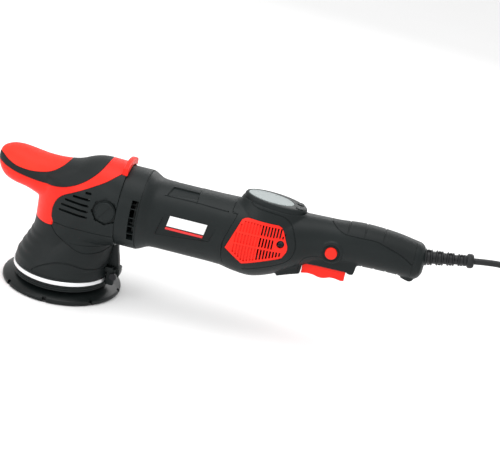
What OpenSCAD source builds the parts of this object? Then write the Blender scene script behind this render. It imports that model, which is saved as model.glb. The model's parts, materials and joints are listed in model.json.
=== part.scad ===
// Dual action polisher: right-angle head with an orbiting backing plate,
// horizontal motor, paddle trigger grip and a mains cord.
// Frame: z = 0 is the hook face, z up along the drive spindle, x from the
// spindle towards the tail of the grip, y across the machine.

/* [Backing plate] */
// Diameter of the backing plate
plate_d = 125; // [123:0.5:127]
// Thickness of the hook sheet
hook_t = 1.6; // [1.2:0.1:1.8]
// Orbit throw, twice the eccentric offset
throw = 15; // [14:0.5:15.5]

/* [Head] */
// Outer diameter of the clamp band round the skirt
band_d = 101.4; // [101:0.1:102]
// Diameter of the motor flange behind the head
flange_d = 83.4; // [83:0.2:84]
// Width of each cooling slot in the head
vent_w = 1.8; // [1.4:0.1:2.4]

/* [Motor] */
// Outer diameter of the motor barrel
barrel_d = 71; // [70.5:0.1:71.4]
// Radius of the armature core
core_r = 17.5; // [16:0.1:18]
// Radius of the cooling fan
fan_r = 34; // [30:0.5:35]

/* [Controls] */
// Radius of the lock button
lock_r = 6; // [5:0.1:6.4]
// Radius of the speed buttons
speed_r = 3.6; // [3:0.1:3.9]

/* [Cord] */
// Diameter of the cord
cord_d = 6.5; // [6:0.1:6.6]

/* [Hidden] */
$fn = 64;
zm = 104;
ey = throw / 2;
pr = plate_d / 2;
br = barrel_d / 2;
fr = flange_d / 2;
band_r = band_d / 2;
pinion_teeth = 10;
crown_teeth = 40;
gear_m = 1.25;
crown_z = zm - 7.8;

// Outline stations: x, centre z, half width, half height
head_st = [
  [-83, 127.5, 3, 3],
  [-81, 127, 10, 8.5],
  [-76.5, 124.5, 16, 13.5],
  [-69, 122.5, 20.5, 17.8],
  [-59, 121, 23, 19.8],
  [-46, 119, 24, 20.2],
  [-32, 115.5, 25, 22],
  [-16, 112, 28, 25.5],
  [0, 111, 32, 29],
  [14, 112, 35, 34],
  [26, 111.5, 37, 37.5],
  [40, 108, 39.5, 41],
  [55, 105, 42.5, 43.8]];
head_in = [for (i = [1 : len(head_st) - 1]) head_st[i]];
body_st = [
  [164.2, 104, 36, 36],
  [178, 103, 36.3, 37.8],
  [196, 102.5, 35.5, 38.3],
  [214, 105.5, 33, 35.7],
  [230, 110, 29.5, 31.3],
  [244, 114.5, 25.8, 27.3],
  [258, 118.5, 23, 24],
  [274, 121, 22, 22.2],
  [297, 123.7, 21.5, 22],
  [328, 123.7, 20.5, 21],
  [352, 121.7, 19, 19.4]];
tail_st = [
  [352, 121.7, 19, 19.4],
  [357, 121.4, 18.2, 18.8],
  [361, 121.2, 15.5, 16.2],
  [363.5, 121, 10.5, 11.5]];

// Cord centre line from the strain relief to the coil
cord_pts = [
  [410.3, 0, 135.1], [424, 0, 137.2], [438, 0, 138.2], [452, -1, 136],
  [464, -3, 130], [473, -6, 120.5], [478.5, -10, 109], [481, -14, 96],
  [482, -19, 82], [483, -24, 68], [485.5, -29.5, 54], [489.5, -33.8, 42],
  [494, -37.2, 34.8], [500, -40, 29.6], [507, -42, 26.6], [515, -43, 25],
  [523, -43.3, 24.3], [531, -43.3, 24]];
coil_x = 545;
tail_pts = [
  [549, -43.2, 4.1], [556, -43.2, 4.5], [564, -43.2, 6.1],
  [573, -43.2, 8.6], [581, -43.2, 10.2], [586, -43.2, 10.5]];
coil_y = 9;
coil_in = 26;
coil_out = 55.5;
coil_h = 26.4;
plug_x = 623;
plug_y = -43.2;
plug_z = 10.5;

// Closed body through elliptical rings, each ring t mm inside its station;
// the end rings move by first and last along x.
module loft(st, t = 0, first = 0, last = 0, n = 28) {
  m = len(st);
  pts = [for (i = [0 : m - 1]) for (j = [0 : n - 1])
    let (a = 360 * (j + 0.5) / n,
         x = st[i][0] + (i == 0 ? first : 0) + (i == m - 1 ? last : 0))
      [x, (st[i][2] - t) * cos(a), st[i][1] + (st[i][3] - t) * sin(a)]];
  sides = [for (i = [0 : m - 2]) for (j = [0 : n - 1]) for (k = [0, 1])
    let (p = i * n + j,
         q = i * n + (j + 1) % n)
      k == 0 ? [p, q + n, q] : [p, p + n, q + n]];
  first_cap = [[for (j = [0 : n - 1]) j]];
  last_cap = [[for (j = [0 : n - 1]) m * n - 1 - j]];
  polyhedron(points = pts, faces = concat(sides, first_cap, last_cap), convexity = 6);
}

// Cylinder lying along x, starting at x0.
module xcyl(x0, len, r, z = zm, y = 0) {
  translate([x0, y, z])
    rotate([0, 90, 0])
      cylinder(r = r, h = len);
}

// Cylinder lying along y, starting at y0.
module ycyl(x, y0, len, r, z) {
  translate([x, y0, z])
    rotate([-90, 0, 0])
      cylinder(r = r, h = len);
}

// Prism across the machine with a side-view outline in x and z.
module side_prism(outline, y0, y1) {
  translate([0, y1, 0])
    rotate([90, 0, 0])
      linear_extrude(y1 - y0)
        polygon(outline);
}

// Ball bearing: outer ring, inner ring, shield disc between them.
module bearing(od, id, w) {
  difference() {
    cylinder(r = od / 2, h = w);
    translate([0, 0, -1])
      cylinder(r = id / 2, h = w + 2);
    for (z = [-1, w - 0.5])
      translate([0, 0, z])
        difference() {
          cylinder(r = od / 2 - (od - id) * 0.13, h = 1.5);
          translate([0, 0, -1])
            cylinder(r = id / 2 + (od - id) * 0.11, h = 4);
        }
  }
}

// Side-view outlines.
red_low = [[-90, 160], [-90, 90], [-60, 79], [-40, 76], [-10, 78], [-11, 86],
  [-11, 95], [-8, 104], [-2, 111], [8, 117], [23, 125], [37, 133],
  [46, 139.5], [52, 143.5], [56, 146], [56, 160]];
mold_low = [[-90, 160], [-90, 128], [-75, 127.5], [-66, 122], [-50, 117.5],
  [-28, 115.5], [-6, 118.5], [14, 127], [28, 139], [36, 152], [37, 160]];
insert_low = [[-90, 160], [-90, 133], [-75, 132], [-66, 128.5], [-55, 125],
  [-39, 124], [-23, 127], [-12, 133.5], [-6, 141], [-6, 160]];
vent_outline = [[168, 99.5], [178.5, 129], [184, 131.5], [215, 131.5],
  [221.5, 127], [228, 114], [228.5, 108], [224, 99.5], [187, 85]];
mold_grip = [[259, 160], [260, 150], [267, 141.5], [279, 136.5], [312, 136.5],
  [327, 133], [352, 122], [352, 160]];

module head_outer(t = 0) {
  loft(head_st, t);
  hull() {
    translate([0, 0, 62.5 + t])
      cylinder(r = 34.5 - t, h = 62 - 2 * t);
    xcyl(20, 35.2 - t, fr - t);
  }
}

// Inner volume of the head kept free for the gear case.
module head_core(t = 0) {
  translate([0, 0, 58])
    cylinder(r = 32.2 + t, h = 54);
  translate([0, 0, 58])
    cylinder(r = 19 + t, h = 70 + t);
  xcyl(24, 31 + 10 * t, 35.5 + t);
}

module hook_face() {
  color([0.13, 0.13, 0.14])
    translate([0, ey, 0])
      cylinder(r = pr - 1.5, h = hook_t);
}

module backing_plate() {
  color([0.07, 0.08, 0.08])
    translate([0, ey, 0])
      difference() {
        rotate_extrude()
          polygon([[0, hook_t], [pr - 1.5, hook_t], [pr - 1.5, 0.4],
            [pr - 0.6, 0.4], [pr, 1], [pr, 3.6], [pr - 1, 4.8], [54, 8], [48.5, 10.2], [44, 10.8],
            [0, 10.8]]);
        translate([0, 0, 7])
          cylinder(r = 35, h = 5);
        for (a = [15 : 30 : 345])
          rotate([0, 0, a])
            translate([pr - 1.1, -1.8, -1])
              cube([4, 3.6, 4.2]);
      }
}

module plate_core() {
  color([0.12, 0.12, 0.13])
    translate([0, ey, 0])
      difference() {
        union() {
          translate([0, 0, 7])
            cylinder(r = 35, h = 3.8);
          translate([0, 0, 10.8])
            cylinder(r = 12, h = 1.6);
        }
        translate([0, 0, 6])
          cylinder(r = 4.05, h = 8);
        translate([0, 0, 6])
          cylinder(r = 7.1, h = 4, $fn = 6);
      }
}

module plate_stud() {
  color([0.66, 0.67, 0.69])
    translate([0, ey, 7]) {
      cylinder(r = 4, h = 26);
      cylinder(r = 7, h = 2.9, $fn = 6);
    }
}

module pad_spindle() {
  color([0.7, 0.71, 0.73])
    translate([0, ey, 0])
      difference() {
        union() {
          translate([0, 0, 12.4])
            cylinder(r = 12, h = 6.4, $fn = 6);
          translate([0, 0, 12.4])
            cylinder(r = 6.95, h = 30.6);
          translate([0, 0, 18.8])
            cylinder(r = 8.6, h = 1.4);
          translate([0, 0, 41])
            cylinder(r = 8, h = 1.1);
        }
        translate([0, 0, 12])
          cylinder(r = 4.06, h = 24);
      }
}

module pad_bearings() {
  color([0.74, 0.75, 0.77])
    for (z = [20.6, 32.6])
      translate([0, ey, z])
        bearing(26, 14, 8);
}

module eccentric_weight() {
  color([0.42, 0.43, 0.45])
    difference() {
      union() {
        translate([0, ey, 20.4])
          cylinder(r = 16, h = 29.6);
        translate([0, 0, 44])
          cylinder(r = 14, h = 12.5);
        difference() {
          translate([0, 0, 24])
            cylinder(r = 35, h = 15);
          translate([-40, 2 - 0.5 * ey, 20])
            cube([80, 60, 30]);
        }
      }
      translate([0, ey, 20])
        cylinder(r = 13.02, h = 23.6);
      translate([0, 0, 43])
        cylinder(r = 8.52, h = 16);
      for (x = [-24, 24])
        translate([x, -10, 20])
          cylinder(r = 4, h = 30);
    }
}

module drive_spindle() {
  color([0.68, 0.69, 0.71]) {
    translate([0, 0, 43.7])
      cylinder(r = 8.48, h = 43.3);
    translate([0, 0, 87])
      cylinder(r = 7.5, h = 28);
    translate([0, 0, 115])
      cylinder(r = 5.97, h = 11);
  }
}

module crown_gear() {
  color([0.55, 0.5, 0.42])
    difference() {
      union() {
        translate([0, 0, crown_z - 8])
          cylinder(r = 28, h = 8);
        translate([0, 0, crown_z - 9])
          cylinder(r = 14, h = 17);
        for (k = [0 : crown_teeth - 1])
          rotate([0, 0, (k + 0.5) * 360 / crown_teeth])
            translate([21.5, 0, crown_z - 0.1])
              rotate([90, 0, 90])
                linear_extrude(6.2)
                  polygon([[-1.2, 0], [1.2, 0], [0.38, 2.65], [-0.38, 2.65]]);
      }
      translate([0, 0, crown_z - 12])
        cylinder(r = 7.52, h = 24);
      translate([0, 0, crown_z - 10])
        difference() {
          cylinder(r = 25, h = 5);
          translate([0, 0, -1])
            cylinder(r = 16.5, h = 8);
        }
    }
}

module spindle_bearings() {
  color([0.74, 0.75, 0.77]) {
    translate([0, 0, 61.5])
      bearing(40, 17.04, 12);
    translate([0, 0, 118])
      bearing(28, 12.04, 8);
  }
}

module bearing_retainer() {
  color([0.6, 0.61, 0.63])
    difference() {
      translate([0, 0, 58])
        cylinder(r = 28.5, h = 3.3);
      translate([0, 0, 57])
        cylinder(r = 15.5, h = 6);
      for (a = [45 : 90 : 315])
        rotate([0, 0, a])
          translate([24.5, 0, 57])
            cylinder(r = 2.2, h = 6);
    }
}

module retainer_screws() {
  color([0.3, 0.3, 0.32])
    for (a = [45 : 90 : 315])
      rotate([0, 0, a])
        translate([24.5, 0, 0])
          difference() {
            union() {
              translate([0, 0, 58])
                cylinder(r = 2, h = 14);
              translate([0, 0, 55.4])
                cylinder(r = 3.8, h = 2.6);
            }
            translate([0, 0, 55])
              cylinder(r = 1.7, h = 1.8, $fn = 6);
          }
}

module gear_case() {
  color([0.62, 0.63, 0.64])
    difference() {
      head_core();
      translate([0, 0, 57])
        cylinder(r = 28.6, h = 4.4);
      translate([0, 0, 57])
        cylinder(r = 20.03, h = 16.6);
      translate([0, 0, 70])
        cylinder(r = 16, h = 20);
      translate([0, 0, 86.5])
        cylinder(r = 29.2, h = 21.5);
      translate([0, 0, 104])
        cylinder(r = 14.03, h = 22.2);
      xcyl(20, 30, 9.8);
      xcyl(44.5, 12, 16.03);
      for (a = [45 : 90 : 315])
        rotate([0, 0, a])
          translate([24.5, 0, 57])
            cylinder(r = 2.03, h = 16);
      for (a = [45 : 90 : 315])
        rotate([a, 0, 0])
          xcyl(44, 14, 1.6, 0, 0);
    }
}

module head_slots() {
  for (k = [0 : 4])
    let (x0 = [22, 10, 1, -2, -3][k],
         z = 119.5 - k * 6.2)
      translate([x0, -60, z])
        cube([27 - x0, 120, vent_w]);
}

module head_cover() {
  color([0.14, 0.17, 0.17])
    difference() {
      head_outer();
      head_core(0.15);
      side_prism(red_low, -60, 60);
      translate([-60, -60, 40])
        cube([140, 120, 40]);
      head_slots();
      ycyl(44, -60, 120, 9.2, 106.5);
      translate([50.6, -21.2, 138])
        cube([6, 42.4, 20]);
    }
}

module belly_cover() {
  color([0.13, 0.16, 0.16])
    difference() {
      intersection() {
        head_outer();
        side_prism([[-9.5, 79.9], [-5.5, 72], [2, 66.5], [12, 61], [14, 50],
          [70, 50], [70, 79.9]], -60, 60);
      }
      head_core(0.15);
    }
}

module handle_shell() {
  color([0.93, 0.16, 0.1]) {
    difference() {
      intersection() {
        head_outer();
        side_prism(red_low, -60, 60);
      }
      difference() {
        side_prism(mold_low, -60, 60);
        loft(head_in, 2.25, 2.25, 3);
      }
      loft(head_in, 5, 5, 3);
      head_core(0.15);
    }
    difference() {
      xcyl(50.8, 5.8, 50);
      xcyl(50, 8, 43.6);
      translate([40, -60, 40])
          cube([30, 120, zm + 0.5]);
      for (s = [-1, 1])
        translate([40, s * 41 - 20, 100])
          cube([30, 40, 60]);
    }
  }
}

module handle_overmold() {
  color([0.15, 0.18, 0.18])
    difference() {
      intersection() {
        loft(head_st);
        side_prism(mold_low, -60, 60);
      }
      loft(head_in, 2.2, 2.2, 3);
      difference() {
        side_prism(insert_low, -60, 60);
        loft(head_in, 1.25, 1.25, 3);
      }
    }
}

module handle_insert() {
  color([0.95, 0.18, 0.12])
    difference() {
      intersection() {
        loft(head_st);
        side_prism(insert_low, -60, 60);
      }
      loft(head_in, 1.2, 1.2, 3);
    }
}

module side_caps() {
  color([0.12, 0.14, 0.14])
    for (s = [-1, 1])
      difference() {
        intersection() {
          ycyl(44, s > 0 ? 36 : -42.8, 6.8, 9.1, 106.5);
          head_outer(-0.8);
        }
        translate([44, s * 43, 106.5])
          rotate([0, 35, 0])
            cube([12, 3.4, 1.2], center = true);
      }
}

// Rear bulge of the skirt, which fills the room under the collar.
module skirt_bulge(t = 0) {
  hull() {
    translate([0, 0, 38])
      cylinder(r = 45 - t, h = 1);
    translate([13.5, 0, 61 + t])
      cylinder(r = 36 - t, h = 2);
  }
}

module skirt() {
  color([0.12, 0.14, 0.14])
    difference() {
      union() {
        difference() {
          skirt_bulge();
          skirt_bulge(2.6);
          translate([0, 0, 30])
            cylinder(r1 = 46.8, r2 = 38.6, h = 19);
          translate([0, 0, 49])
            cylinder(r1 = 38.6, r2 = 33, h = 12);
          translate([0, 0, 60])
            cylinder(r = 33, h = 10);
        }
        skirt_body();
      }
      intersection() {
        head_outer(-0.15);
        side_prism([[-9.7, 90], [-9.6, 79.9], [-5.7, 71.8], [1.8, 66.3],
          [11.8, 60.8], [13.8, 49], [70, 49], [70, 90]], -60, 60);
      }
    }
}

module skirt_body() {
  rotate_extrude()
    polygon([[47, 19.2], [49.4, 19.2], [49.4, 24.4], [49.9, 24.8],
      [49.3, 28], [48.3, 32], [46.6, 37], [45.4, 38.6], [44.6, 42],
      [42.6, 45.5], [41.6, 48], [39.6, 51.4], [38.2, 55], [36.6, 58.4],
      [35.5, 63], [34.6, 68], [34.5, 75.9], [32.4, 75.9], [32.4, 66],
      [33.2, 60], [35.6, 54], [38.6, 48.5], [42, 41.5], [44.4, 35.5],
      [46.4, 31], [47, 28]]);
}

module shroud_ring() {
  color([0.1, 0.11, 0.11])
    rotate_extrude()
      polygon([[44.6, 12.4], [49.4, 12.4], [50.2, 13.2], [50.2, 14.6],
        [49.4, 15], [50.2, 15.4], [50.2, 16.8], [49.4, 17.2],
        [50.2, 17.6], [50.2, 19.1], [46.9, 19.1], [46.9, 27.8],
        [44.6, 27.8]]);
}

module clamp_band() {
  color([0.86, 0.87, 0.88])
    difference() {
      translate([0, 0, 19.6])
        cylinder(r = band_r, h = 4.4);
      translate([0, 0, 18])
        cylinder(r = 49.45, h = 8);
      translate([49.6, -4, 18])
        cube([4, 8, 8]);
    }
}

module clamp_block() {
  color([0.12, 0.13, 0.13])
    difference() {
      union() {
        translate([44, -10, 15.8])
          cube([14.5, 17, 13.4]);
        translate([54, -5, 21])
          cube([8, 11, 13]);
      }
      translate([0, 0, 10])
        cylinder(r = band_r + 0.3, h = 30);
      ycyl(57.6, -20, 40, 2.05, 27);
    }
}

module clamp_screw() {
  color([0.2, 0.2, 0.21]) {
    ycyl(57.6, -11, 20, 2, 27);
    ycyl(57.6, -13.6, 3.4, 3.8, 27);
    translate([57.6, 7.1, 27])
      rotate([-90, 0, 0])
        cylinder(r = 4, h = 3.2, $fn = 6);
  }
}

module skirt_strap() {
  color([0.11, 0.12, 0.12])
    difference() {
      side_prism([[50, 60.8], [54.2, 60.8], [60.5, 34.2], [55, 34.2],
        [52, 42]], -3.6, 4.4);
      xcyl(30, 40, fr + 0.2);
    }
}

module motor_housing() {
  color([0.13, 0.16, 0.16])
    translate([0, 0, zm])
      difference() {
        rotate([0, 90, 0])
          rotate_extrude()
            polygon([[36.2, 55.2], [fr, 55.2], [fr, 77], [40.4, 80],
              [37.4, 85.5], [br + 0.2, 91], [br, 97], [br, 164],
              [31.8, 164], [31.8, 177], [11.02, 177], [11.02, 169.5],
              [7, 169.5], [7, 166], [31, 166], [31, 86], [36.2, 80]]);
        for (s = [-1, 1])
          for (k = [-2.5 : 2.5])
            rotate([s * 90 + k * 12, 0, 0])
              translate([71.5, -3.3, 33])
                cube([5, 6.6, 12]);
        for (s = [-1, 1])
          translate([97, s * 38 - 5, -13])
            cube([54, 10, 26]);
        for (a = [0 : 60 : 300])
          rotate([a, 0, 0])
            xcyl(160, 20, 6, 21);
      }
}

module label_plates() {
  color([0.88, 0.88, 0.88])
    for (s = [-1, 1])
      side_prism([[105, 101.5], [145, 101.5], [147, 117], [107, 117]],
        s < 0 ? -33.9 : 33, s < 0 ? -33 : 33.9);
}

module stator_core() {
  color([0.48, 0.49, 0.52])
    difference() {
      xcyl(92, 52, 30.9);
      xcyl(90, 56, 18.6);
      for (a = [0, 180])
        translate([90, 0, zm])
          rotate([a, 0, 0])
            translate([0, -15, 12])
              cube([56, 30, 14]);
    }
}

module field_windings() {
  color([0.72, 0.38, 0.16])
    for (a = [0, 180])
      translate([0, 0, zm])
        rotate([a, 0, 0])
          difference() {
            translate([88, -14.5, 19])
              cube([60, 29, 6.8]);
            translate([95, -6, 15])
              cube([46, 12, 14]);
          }
}

module armature_shaft() {
  color([0.66, 0.67, 0.7]) {
    xcyl(21.3, 18.7, 3.5);
    xcyl(40, 17, 5.97);
    xcyl(57, 108, 6);
    xcyl(165, 11.5, 3.97);
  }
}

module armature_core() {
  color([0.5, 0.46, 0.4])
    difference() {
      union() {
        xcyl(94, 48, core_r);
        xcyl(87, 61, 13.5);
      }
      xcyl(80, 80, 6.02);
      for (k = [0 : 11])
        translate([92, 0, zm])
          rotate([k * 30, 0, 0])
            translate([0, -0.8, 14.2])
              cube([52, 1.6, 6]);
    }
}

module commutator() {
  color([0.74, 0.46, 0.24])
    difference() {
      xcyl(151, 13, 11);
      xcyl(140, 40, 6.02);
      for (k = [0 : 23])
        translate([150, 0, zm])
          rotate([k * 15, 0, 0])
            translate([0, -0.25, 10.2])
              cube([11, 0.5, 2]);
    }
}

module pinion() {
  color([0.5, 0.5, 0.52])
    difference() {
      union() {
        xcyl(21.4, 18.4, 4.75);
        translate([21.6, 0, zm])
          for (k = [0 : pinion_teeth - 1])
            rotate([k * 360 / pinion_teeth - 90, 0, 0])
              rotate([90, 0, 90])
                linear_extrude(6)
                  polygon([[4.2, -1.15], [5.9, -0.86], [7.35, -0.34],
                    [7.35, 0.34], [5.9, 0.86], [4.2, 1.15]]);
      }
      xcyl(20, 24, 3.52);
    }
}

module fan() {
  color([0.1, 0.1, 0.11])
    difference() {
      union() {
        xcyl(62, 12, 10);
        xcyl(72, 1.8, fan_r);
        for (k = [0 : 10])
          translate([62, 0, zm])
            rotate([k * 360 / 11, 0, 0])
              translate([0, -0.9, 9])
                cube([10.5, 1.8, fan_r - 9.5]);
      }
      xcyl(50, 40, 6.02);
    }
}

module motor_bearings() {
  color([0.74, 0.75, 0.77])
    translate([0, 0, zm])
      rotate([0, 90, 0]) {
        translate([0, 0, 44.6])
          bearing(32, 12.04, 10);
        translate([0, 0, 169.6])
          bearing(22, 8.04, 7);
      }
}

module brush_holders() {
  color([0.5, 0.42, 0.2])
    for (s = [-1, 1])
      difference() {
        ycyl(157.5, s > 0 ? 12.8 : -29.9, 17.1, 6.8, zm);
        translate([154.9, s * 21 - 7.6, zm - 4.1])
          cube([5.2, 15.2, 8.2]);
        translate([154.9, s * 12 - 4, zm - 4.1])
          cube([5.2, 8, 8.2]);
      }
}

module carbon_brushes() {
  color([0.16, 0.16, 0.17])
    for (s = [-1, 1])
      translate([155, s > 0 ? 11.3 : -28.3, zm - 4])
        cube([5, 17, 8]);
}

// Switch box under the grip.
module switch_box(t = 0) {
  side_prism([[241.8 + t, 84 - 2 * t], [241.8 + t, 110], [297.6 - t, 110],
    [297.6 - t, 94 - 2 * t], [291 - 0.2 * t, 93.6 - 2 * t],
    [290.8 - 0.2 * t, 96], [245 + 0.2 * t, 94.6], [244.6 + 0.2 * t, 84 - 2 * t]],
    -15.2 + t, 15.2 - t);
}

screw_spots = [[186, 74], [236, 132], [301, 108.5], [341, 109.5]];

module rear_housing(s) {
  difference() {
    union() {
      difference() {
        union() {
          loft(body_st);
          switch_box();
          side_prism([[344, 110], [344, 102.4], [352, 99.5], [352, 110]], -9, 9);
          if (s < 0)
            ycyl(271.5, -23.6, 8, 11.5, 115.8);
        }
        loft(body_st, 3.6, -2, 2);
        side_prism([[245.2, 70], [245.2, 104.5], [290.9, 104.5], [290.9, 70]],
          -12.8, 12.8);
      }
      intersection() {
        loft(body_st, 1, 1, -1);
        for (p = screw_spots)
          ycyl(p[0], -40, 80, 4.6, p[1]);
      }
    }
    translate([160, s < 0 ? 0 : -60, 40])
      cube([200, 60, 120]);
    xcyl(160, 17.5, 32);
    xcyl(340, 20, 4.4, 123.6);
    for (p = screw_spots) {
      ycyl(p[0], -9, 80, 1.7, p[1]);
      ycyl(p[0], 9, 80, 3.6, p[1]);
    }
    ycyl(250, -20, 40, 1.62, 99);
    if (s < 0) {
      ycyl(271.5, -30, 20, lock_r + 0.3, 115.8);
      ycyl(271.5, -17.2, 8.2, lock_r + 1.7, 115.8);
    }
    difference() {
      side_prism(vent_outline, s < 0 ? -60 : 0, s < 0 ? 0 : 60);
      loft(body_st, 2.1, -2, 2);
    }
    for (k = [0 : 7])
      translate([200 + 3.2 * k, s < 0 ? -60 : 10, 98])
        cube([1.8, 50, 27]);
    difference() {
      side_prism(mold_grip, -60, 60);
      loft(body_st, 1.85, -2, 2);
    }
    translate([206, 0, 149])
      rotate([0, 4, 0])
        translate([0, 0, -16])
          oval(30, 17.5, 12, 0);
  }
}

module oval(a, b, h, x = 0) {
  translate([x, 0, 0])
    linear_extrude(h)
      polygon([for (k = [0 : 47]) [a * cos(7.5 * k), b * sin(7.5 * k)]]);
}

module housing_left() {
  color([0.14, 0.17, 0.17])
    rear_housing(-1);
}

module housing_right() {
  color([0.14, 0.17, 0.17])
    rear_housing(1);
}

module vent_cover(s) {
  difference() {
    intersection() {
      loft(body_st, -0.5);
      side_prism(vent_outline, s < 0 ? -60 : 1, s < 0 ? -1 : 60);
    }
    loft(body_st, 2.05, -2, 2);
    for (k = [0 : 7])
      for (r = [[100.5, 7], [109.8, 7], [119.2, 7]])
        translate([200 + 3.2 * k, s < 0 ? -60 : 10, r[0]])
          cube([1.7, 50, r[1]]);
    ycyl(221, -60, 120, 2.1, 114.5);
    ycyl(221, s < 0 ? -50.3 : 30.3, 20, 3.4, 114.5);
  }
}

module vent_cover_left() {
  color([0.93, 0.16, 0.1])
    vent_cover(-1);
}

module vent_cover_right() {
  color([0.93, 0.16, 0.1])
    vent_cover(1);
}

module housing_screws() {
  color([0.22, 0.22, 0.23]) {
    for (p = screw_spots) {
      ycyl(p[0], -8.5, 17.5, 1.65, p[1]);
      ycyl(p[0], 9, 2.6, 3.4, p[1]);
    }
    for (s = [-1, 1])
      difference() {
        union() {
          ycyl(221, s > 0 ? 27 : -31, 4, 1.9, 114.5);
          ycyl(221, s > 0 ? 30.4 : -32.4, 2, 3.2, 114.5);
        }
        loft(body_st, 2.05, -2, 2);
      }
  }
}

// Local frame of the display, its top face at z = 0.
module on_display() {
  translate([206, 0, 149])
    rotate([0, 4, 0])
      children();
}

module display_housing() {
  color([0.15, 0.18, 0.18])
    difference() {
      on_display()
        difference() {
          union() {
            translate([0, 0, -15])
              oval(32.5, 20, 12);
            translate([0, 0, -3])
              oval(31.4, 18.8, 3);
          }
          translate([0, 0, -1.8])
            oval(24, 14.2, 4, -5.5);
          translate([0, 0, -5])
            oval(21, 11.5, 8, -5.5);
          for (s = [-1, 1])
            translate([24.6, s * 6.2, -4.5])
              cylinder(r = speed_r + 0.3, h = 8);
        }
      loft(body_st, -0.05);
    }
}

module display_lens() {
  color([0.62, 0.68, 0.68, 0.9])
    on_display()
      translate([0, 0, -1.75])
        oval(23.85, 14.05, 1.95, -5.5);
}

module speed_button(s) {
  color([0.12, 0.14, 0.14])
    on_display()
      translate([24.6, s * 6.2, -3])
        cylinder(r = speed_r, h = 3.9);
}

module plus_button() {
  speed_button(-1);
}

module minus_button() {
  speed_button(1);
}

module trigger() {
  color([0.93, 0.16, 0.1])
    difference() {
      side_prism([[245.8, 94.4], [246, 101.5], [254, 101.5], [256, 99.5],
        [286, 99.5], [290, 96.4], [290, 84.5], [286, 84.4], [279, 85.2],
        [273.5, 84.2], [266, 82.6], [258, 84], [252, 84], [245.8, 82.4]],
        -12, 12);
      side_prism([[257, 110], [257, 88], [284, 88.5], [284, 110]], -9.6, 9.6);
      ycyl(250, -20, 40, 1.68, 99);
    }
}

module trigger_pin() {
  color([0.7, 0.71, 0.73])
    ycyl(250, -14.8, 29.6, 1.6, 99);
}

// Round-wire coil spring along z.
module coil_spring(r, wire, turns, h) {
  n = 14;
  rings = turns * n;
  pts = [for (i = [0 : rings]) for (j = [0 : 5])
    let (a = 360 * i / n,
         b = 60 * j,
         q = r + wire * cos(b))
      [q * cos(a), q * sin(a), wire + (h - 2 * wire) * i / rings + wire * sin(b)]];
  sides = [for (i = [0 : rings - 1]) for (j = [0 : 5]) for (k = [0, 1])
    let (p = i * 6 + j,
         q = i * 6 + (j + 1) % 6)
      k == 0 ? [p, p + 6, q + 6] : [p, q + 6, q]];
  caps = [[for (j = [0 : 5]) j], [for (j = [0 : 5]) rings * 6 + 5 - j]];
  polyhedron(points = pts, faces = concat(sides, caps), convexity = 10);
}

module trigger_spring() {
  color([0.75, 0.76, 0.78])
    translate([262, 0, 88.4])
      coil_spring(3.6, 0.45, 7, 19);
}

module lock_button() {
  color([0.93, 0.16, 0.1]) {
    ycyl(271.5, -26.2, 9.8, lock_r, 115.8);
    ycyl(271.5, -16.6, 2.4, lock_r + 1.2, 115.8);
  }
}

module switch_body() {
  color([0.1, 0.1, 0.11]) {
    translate([254, -9, 107.5])
      cube([30, 18, 15]);
    translate([272, -3, 102.6])
      cube([6, 6, 4.9]);
  }
}

module speed_module() {
  color([0.1, 0.28, 0.2])
    union() {
      translate([188, -15, 120])
        cube([40, 30, 1.6]);
      translate([192, -11, 108])
        cube([28, 22, 12]);
    }
}

module grip_overmold() {
  color([0.15, 0.18, 0.18])
    difference() {
      intersection() {
        loft(body_st);
        side_prism(mold_grip, -60, 60);
      }
      loft(body_st, 1.8, -2, 2);
    }
}

// Relief frame: z runs out along the cord.
module on_relief() {
  translate([361, 0, 127])
    rotate([0, 80.7, 0])
      children();
}

module tail_cap() {
  color([0.13, 0.16, 0.16])
    difference() {
      union() {
        loft(tail_st);
        side_prism([[352, 110], [352, 99.5], [355.5, 100.4], [361, 112],
          [362, 117], [352, 120]], -9, 9);
      }
      xcyl(351, 8, 14.5, 121.5);
      on_relief()
        translate([0, 0, -20])
          cylinder(r = 8.7, h = 40);
    }
}

module strain_relief() {
  color([0.07, 0.07, 0.08])
    on_relief()
      difference() {
        rotate_extrude()
          polygon(concat([[0, -6], [8.6, -6], [8.6, 3]],
            [for (k = [0 : 6])
              for (q = [[0, 3.2], [-1.7, 3.8], [-1.7, 7], [-0.3, 7.6]])
                [8.4 - 0.36 * k + q[0], 5.4 * k + q[1]]],
            [[5.3, 42.4], [7.4, 44], [7.4, 48], [5.6, 50], [0, 50]]));
        translate([0, 0, -8])
          cylinder(r = cord_d / 2, h = 70);
      }
}

function ring_dir(pts, i) = let (d = pts[min(i + 1, len(pts) - 1)] - pts[max(i - 1, 0)])
  d / norm(d);

// Tube of the cord through its route points, 10 sides.
module cord_tube(pts, r, n = 10) {
  rings = [for (i = [0 : len(pts) - 1]) for (j = [0 : n - 1])
    let (d = ring_dir(pts, i),
         u0 = cross([0, 1, 0], d),
         u = u0 / norm(u0),
         v = cross(d, u),
         a = 360 * j / n)
      pts[i] + r * (cos(a) * u + sin(a) * v)];
  sides = [for (i = [0 : len(pts) - 2]) for (j = [0 : n - 1]) for (k = [0, 1])
    let (p = i * n + j,
         q = i * n + (j + 1) % n)
      k == 0 ? [p, p + n, q + n] : [p, q + n, q]];
  caps = [[for (j = [0 : n - 1]) j],
    [for (j = [0 : n - 1]) len(pts) * n - 1 - j]];
  polyhedron(points = rings, faces = concat(sides, caps), convexity = 8);
}

module cord() {
  color([0.06, 0.06, 0.07])
    cord_tube(cord_pts, cord_d / 2);
}

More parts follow.
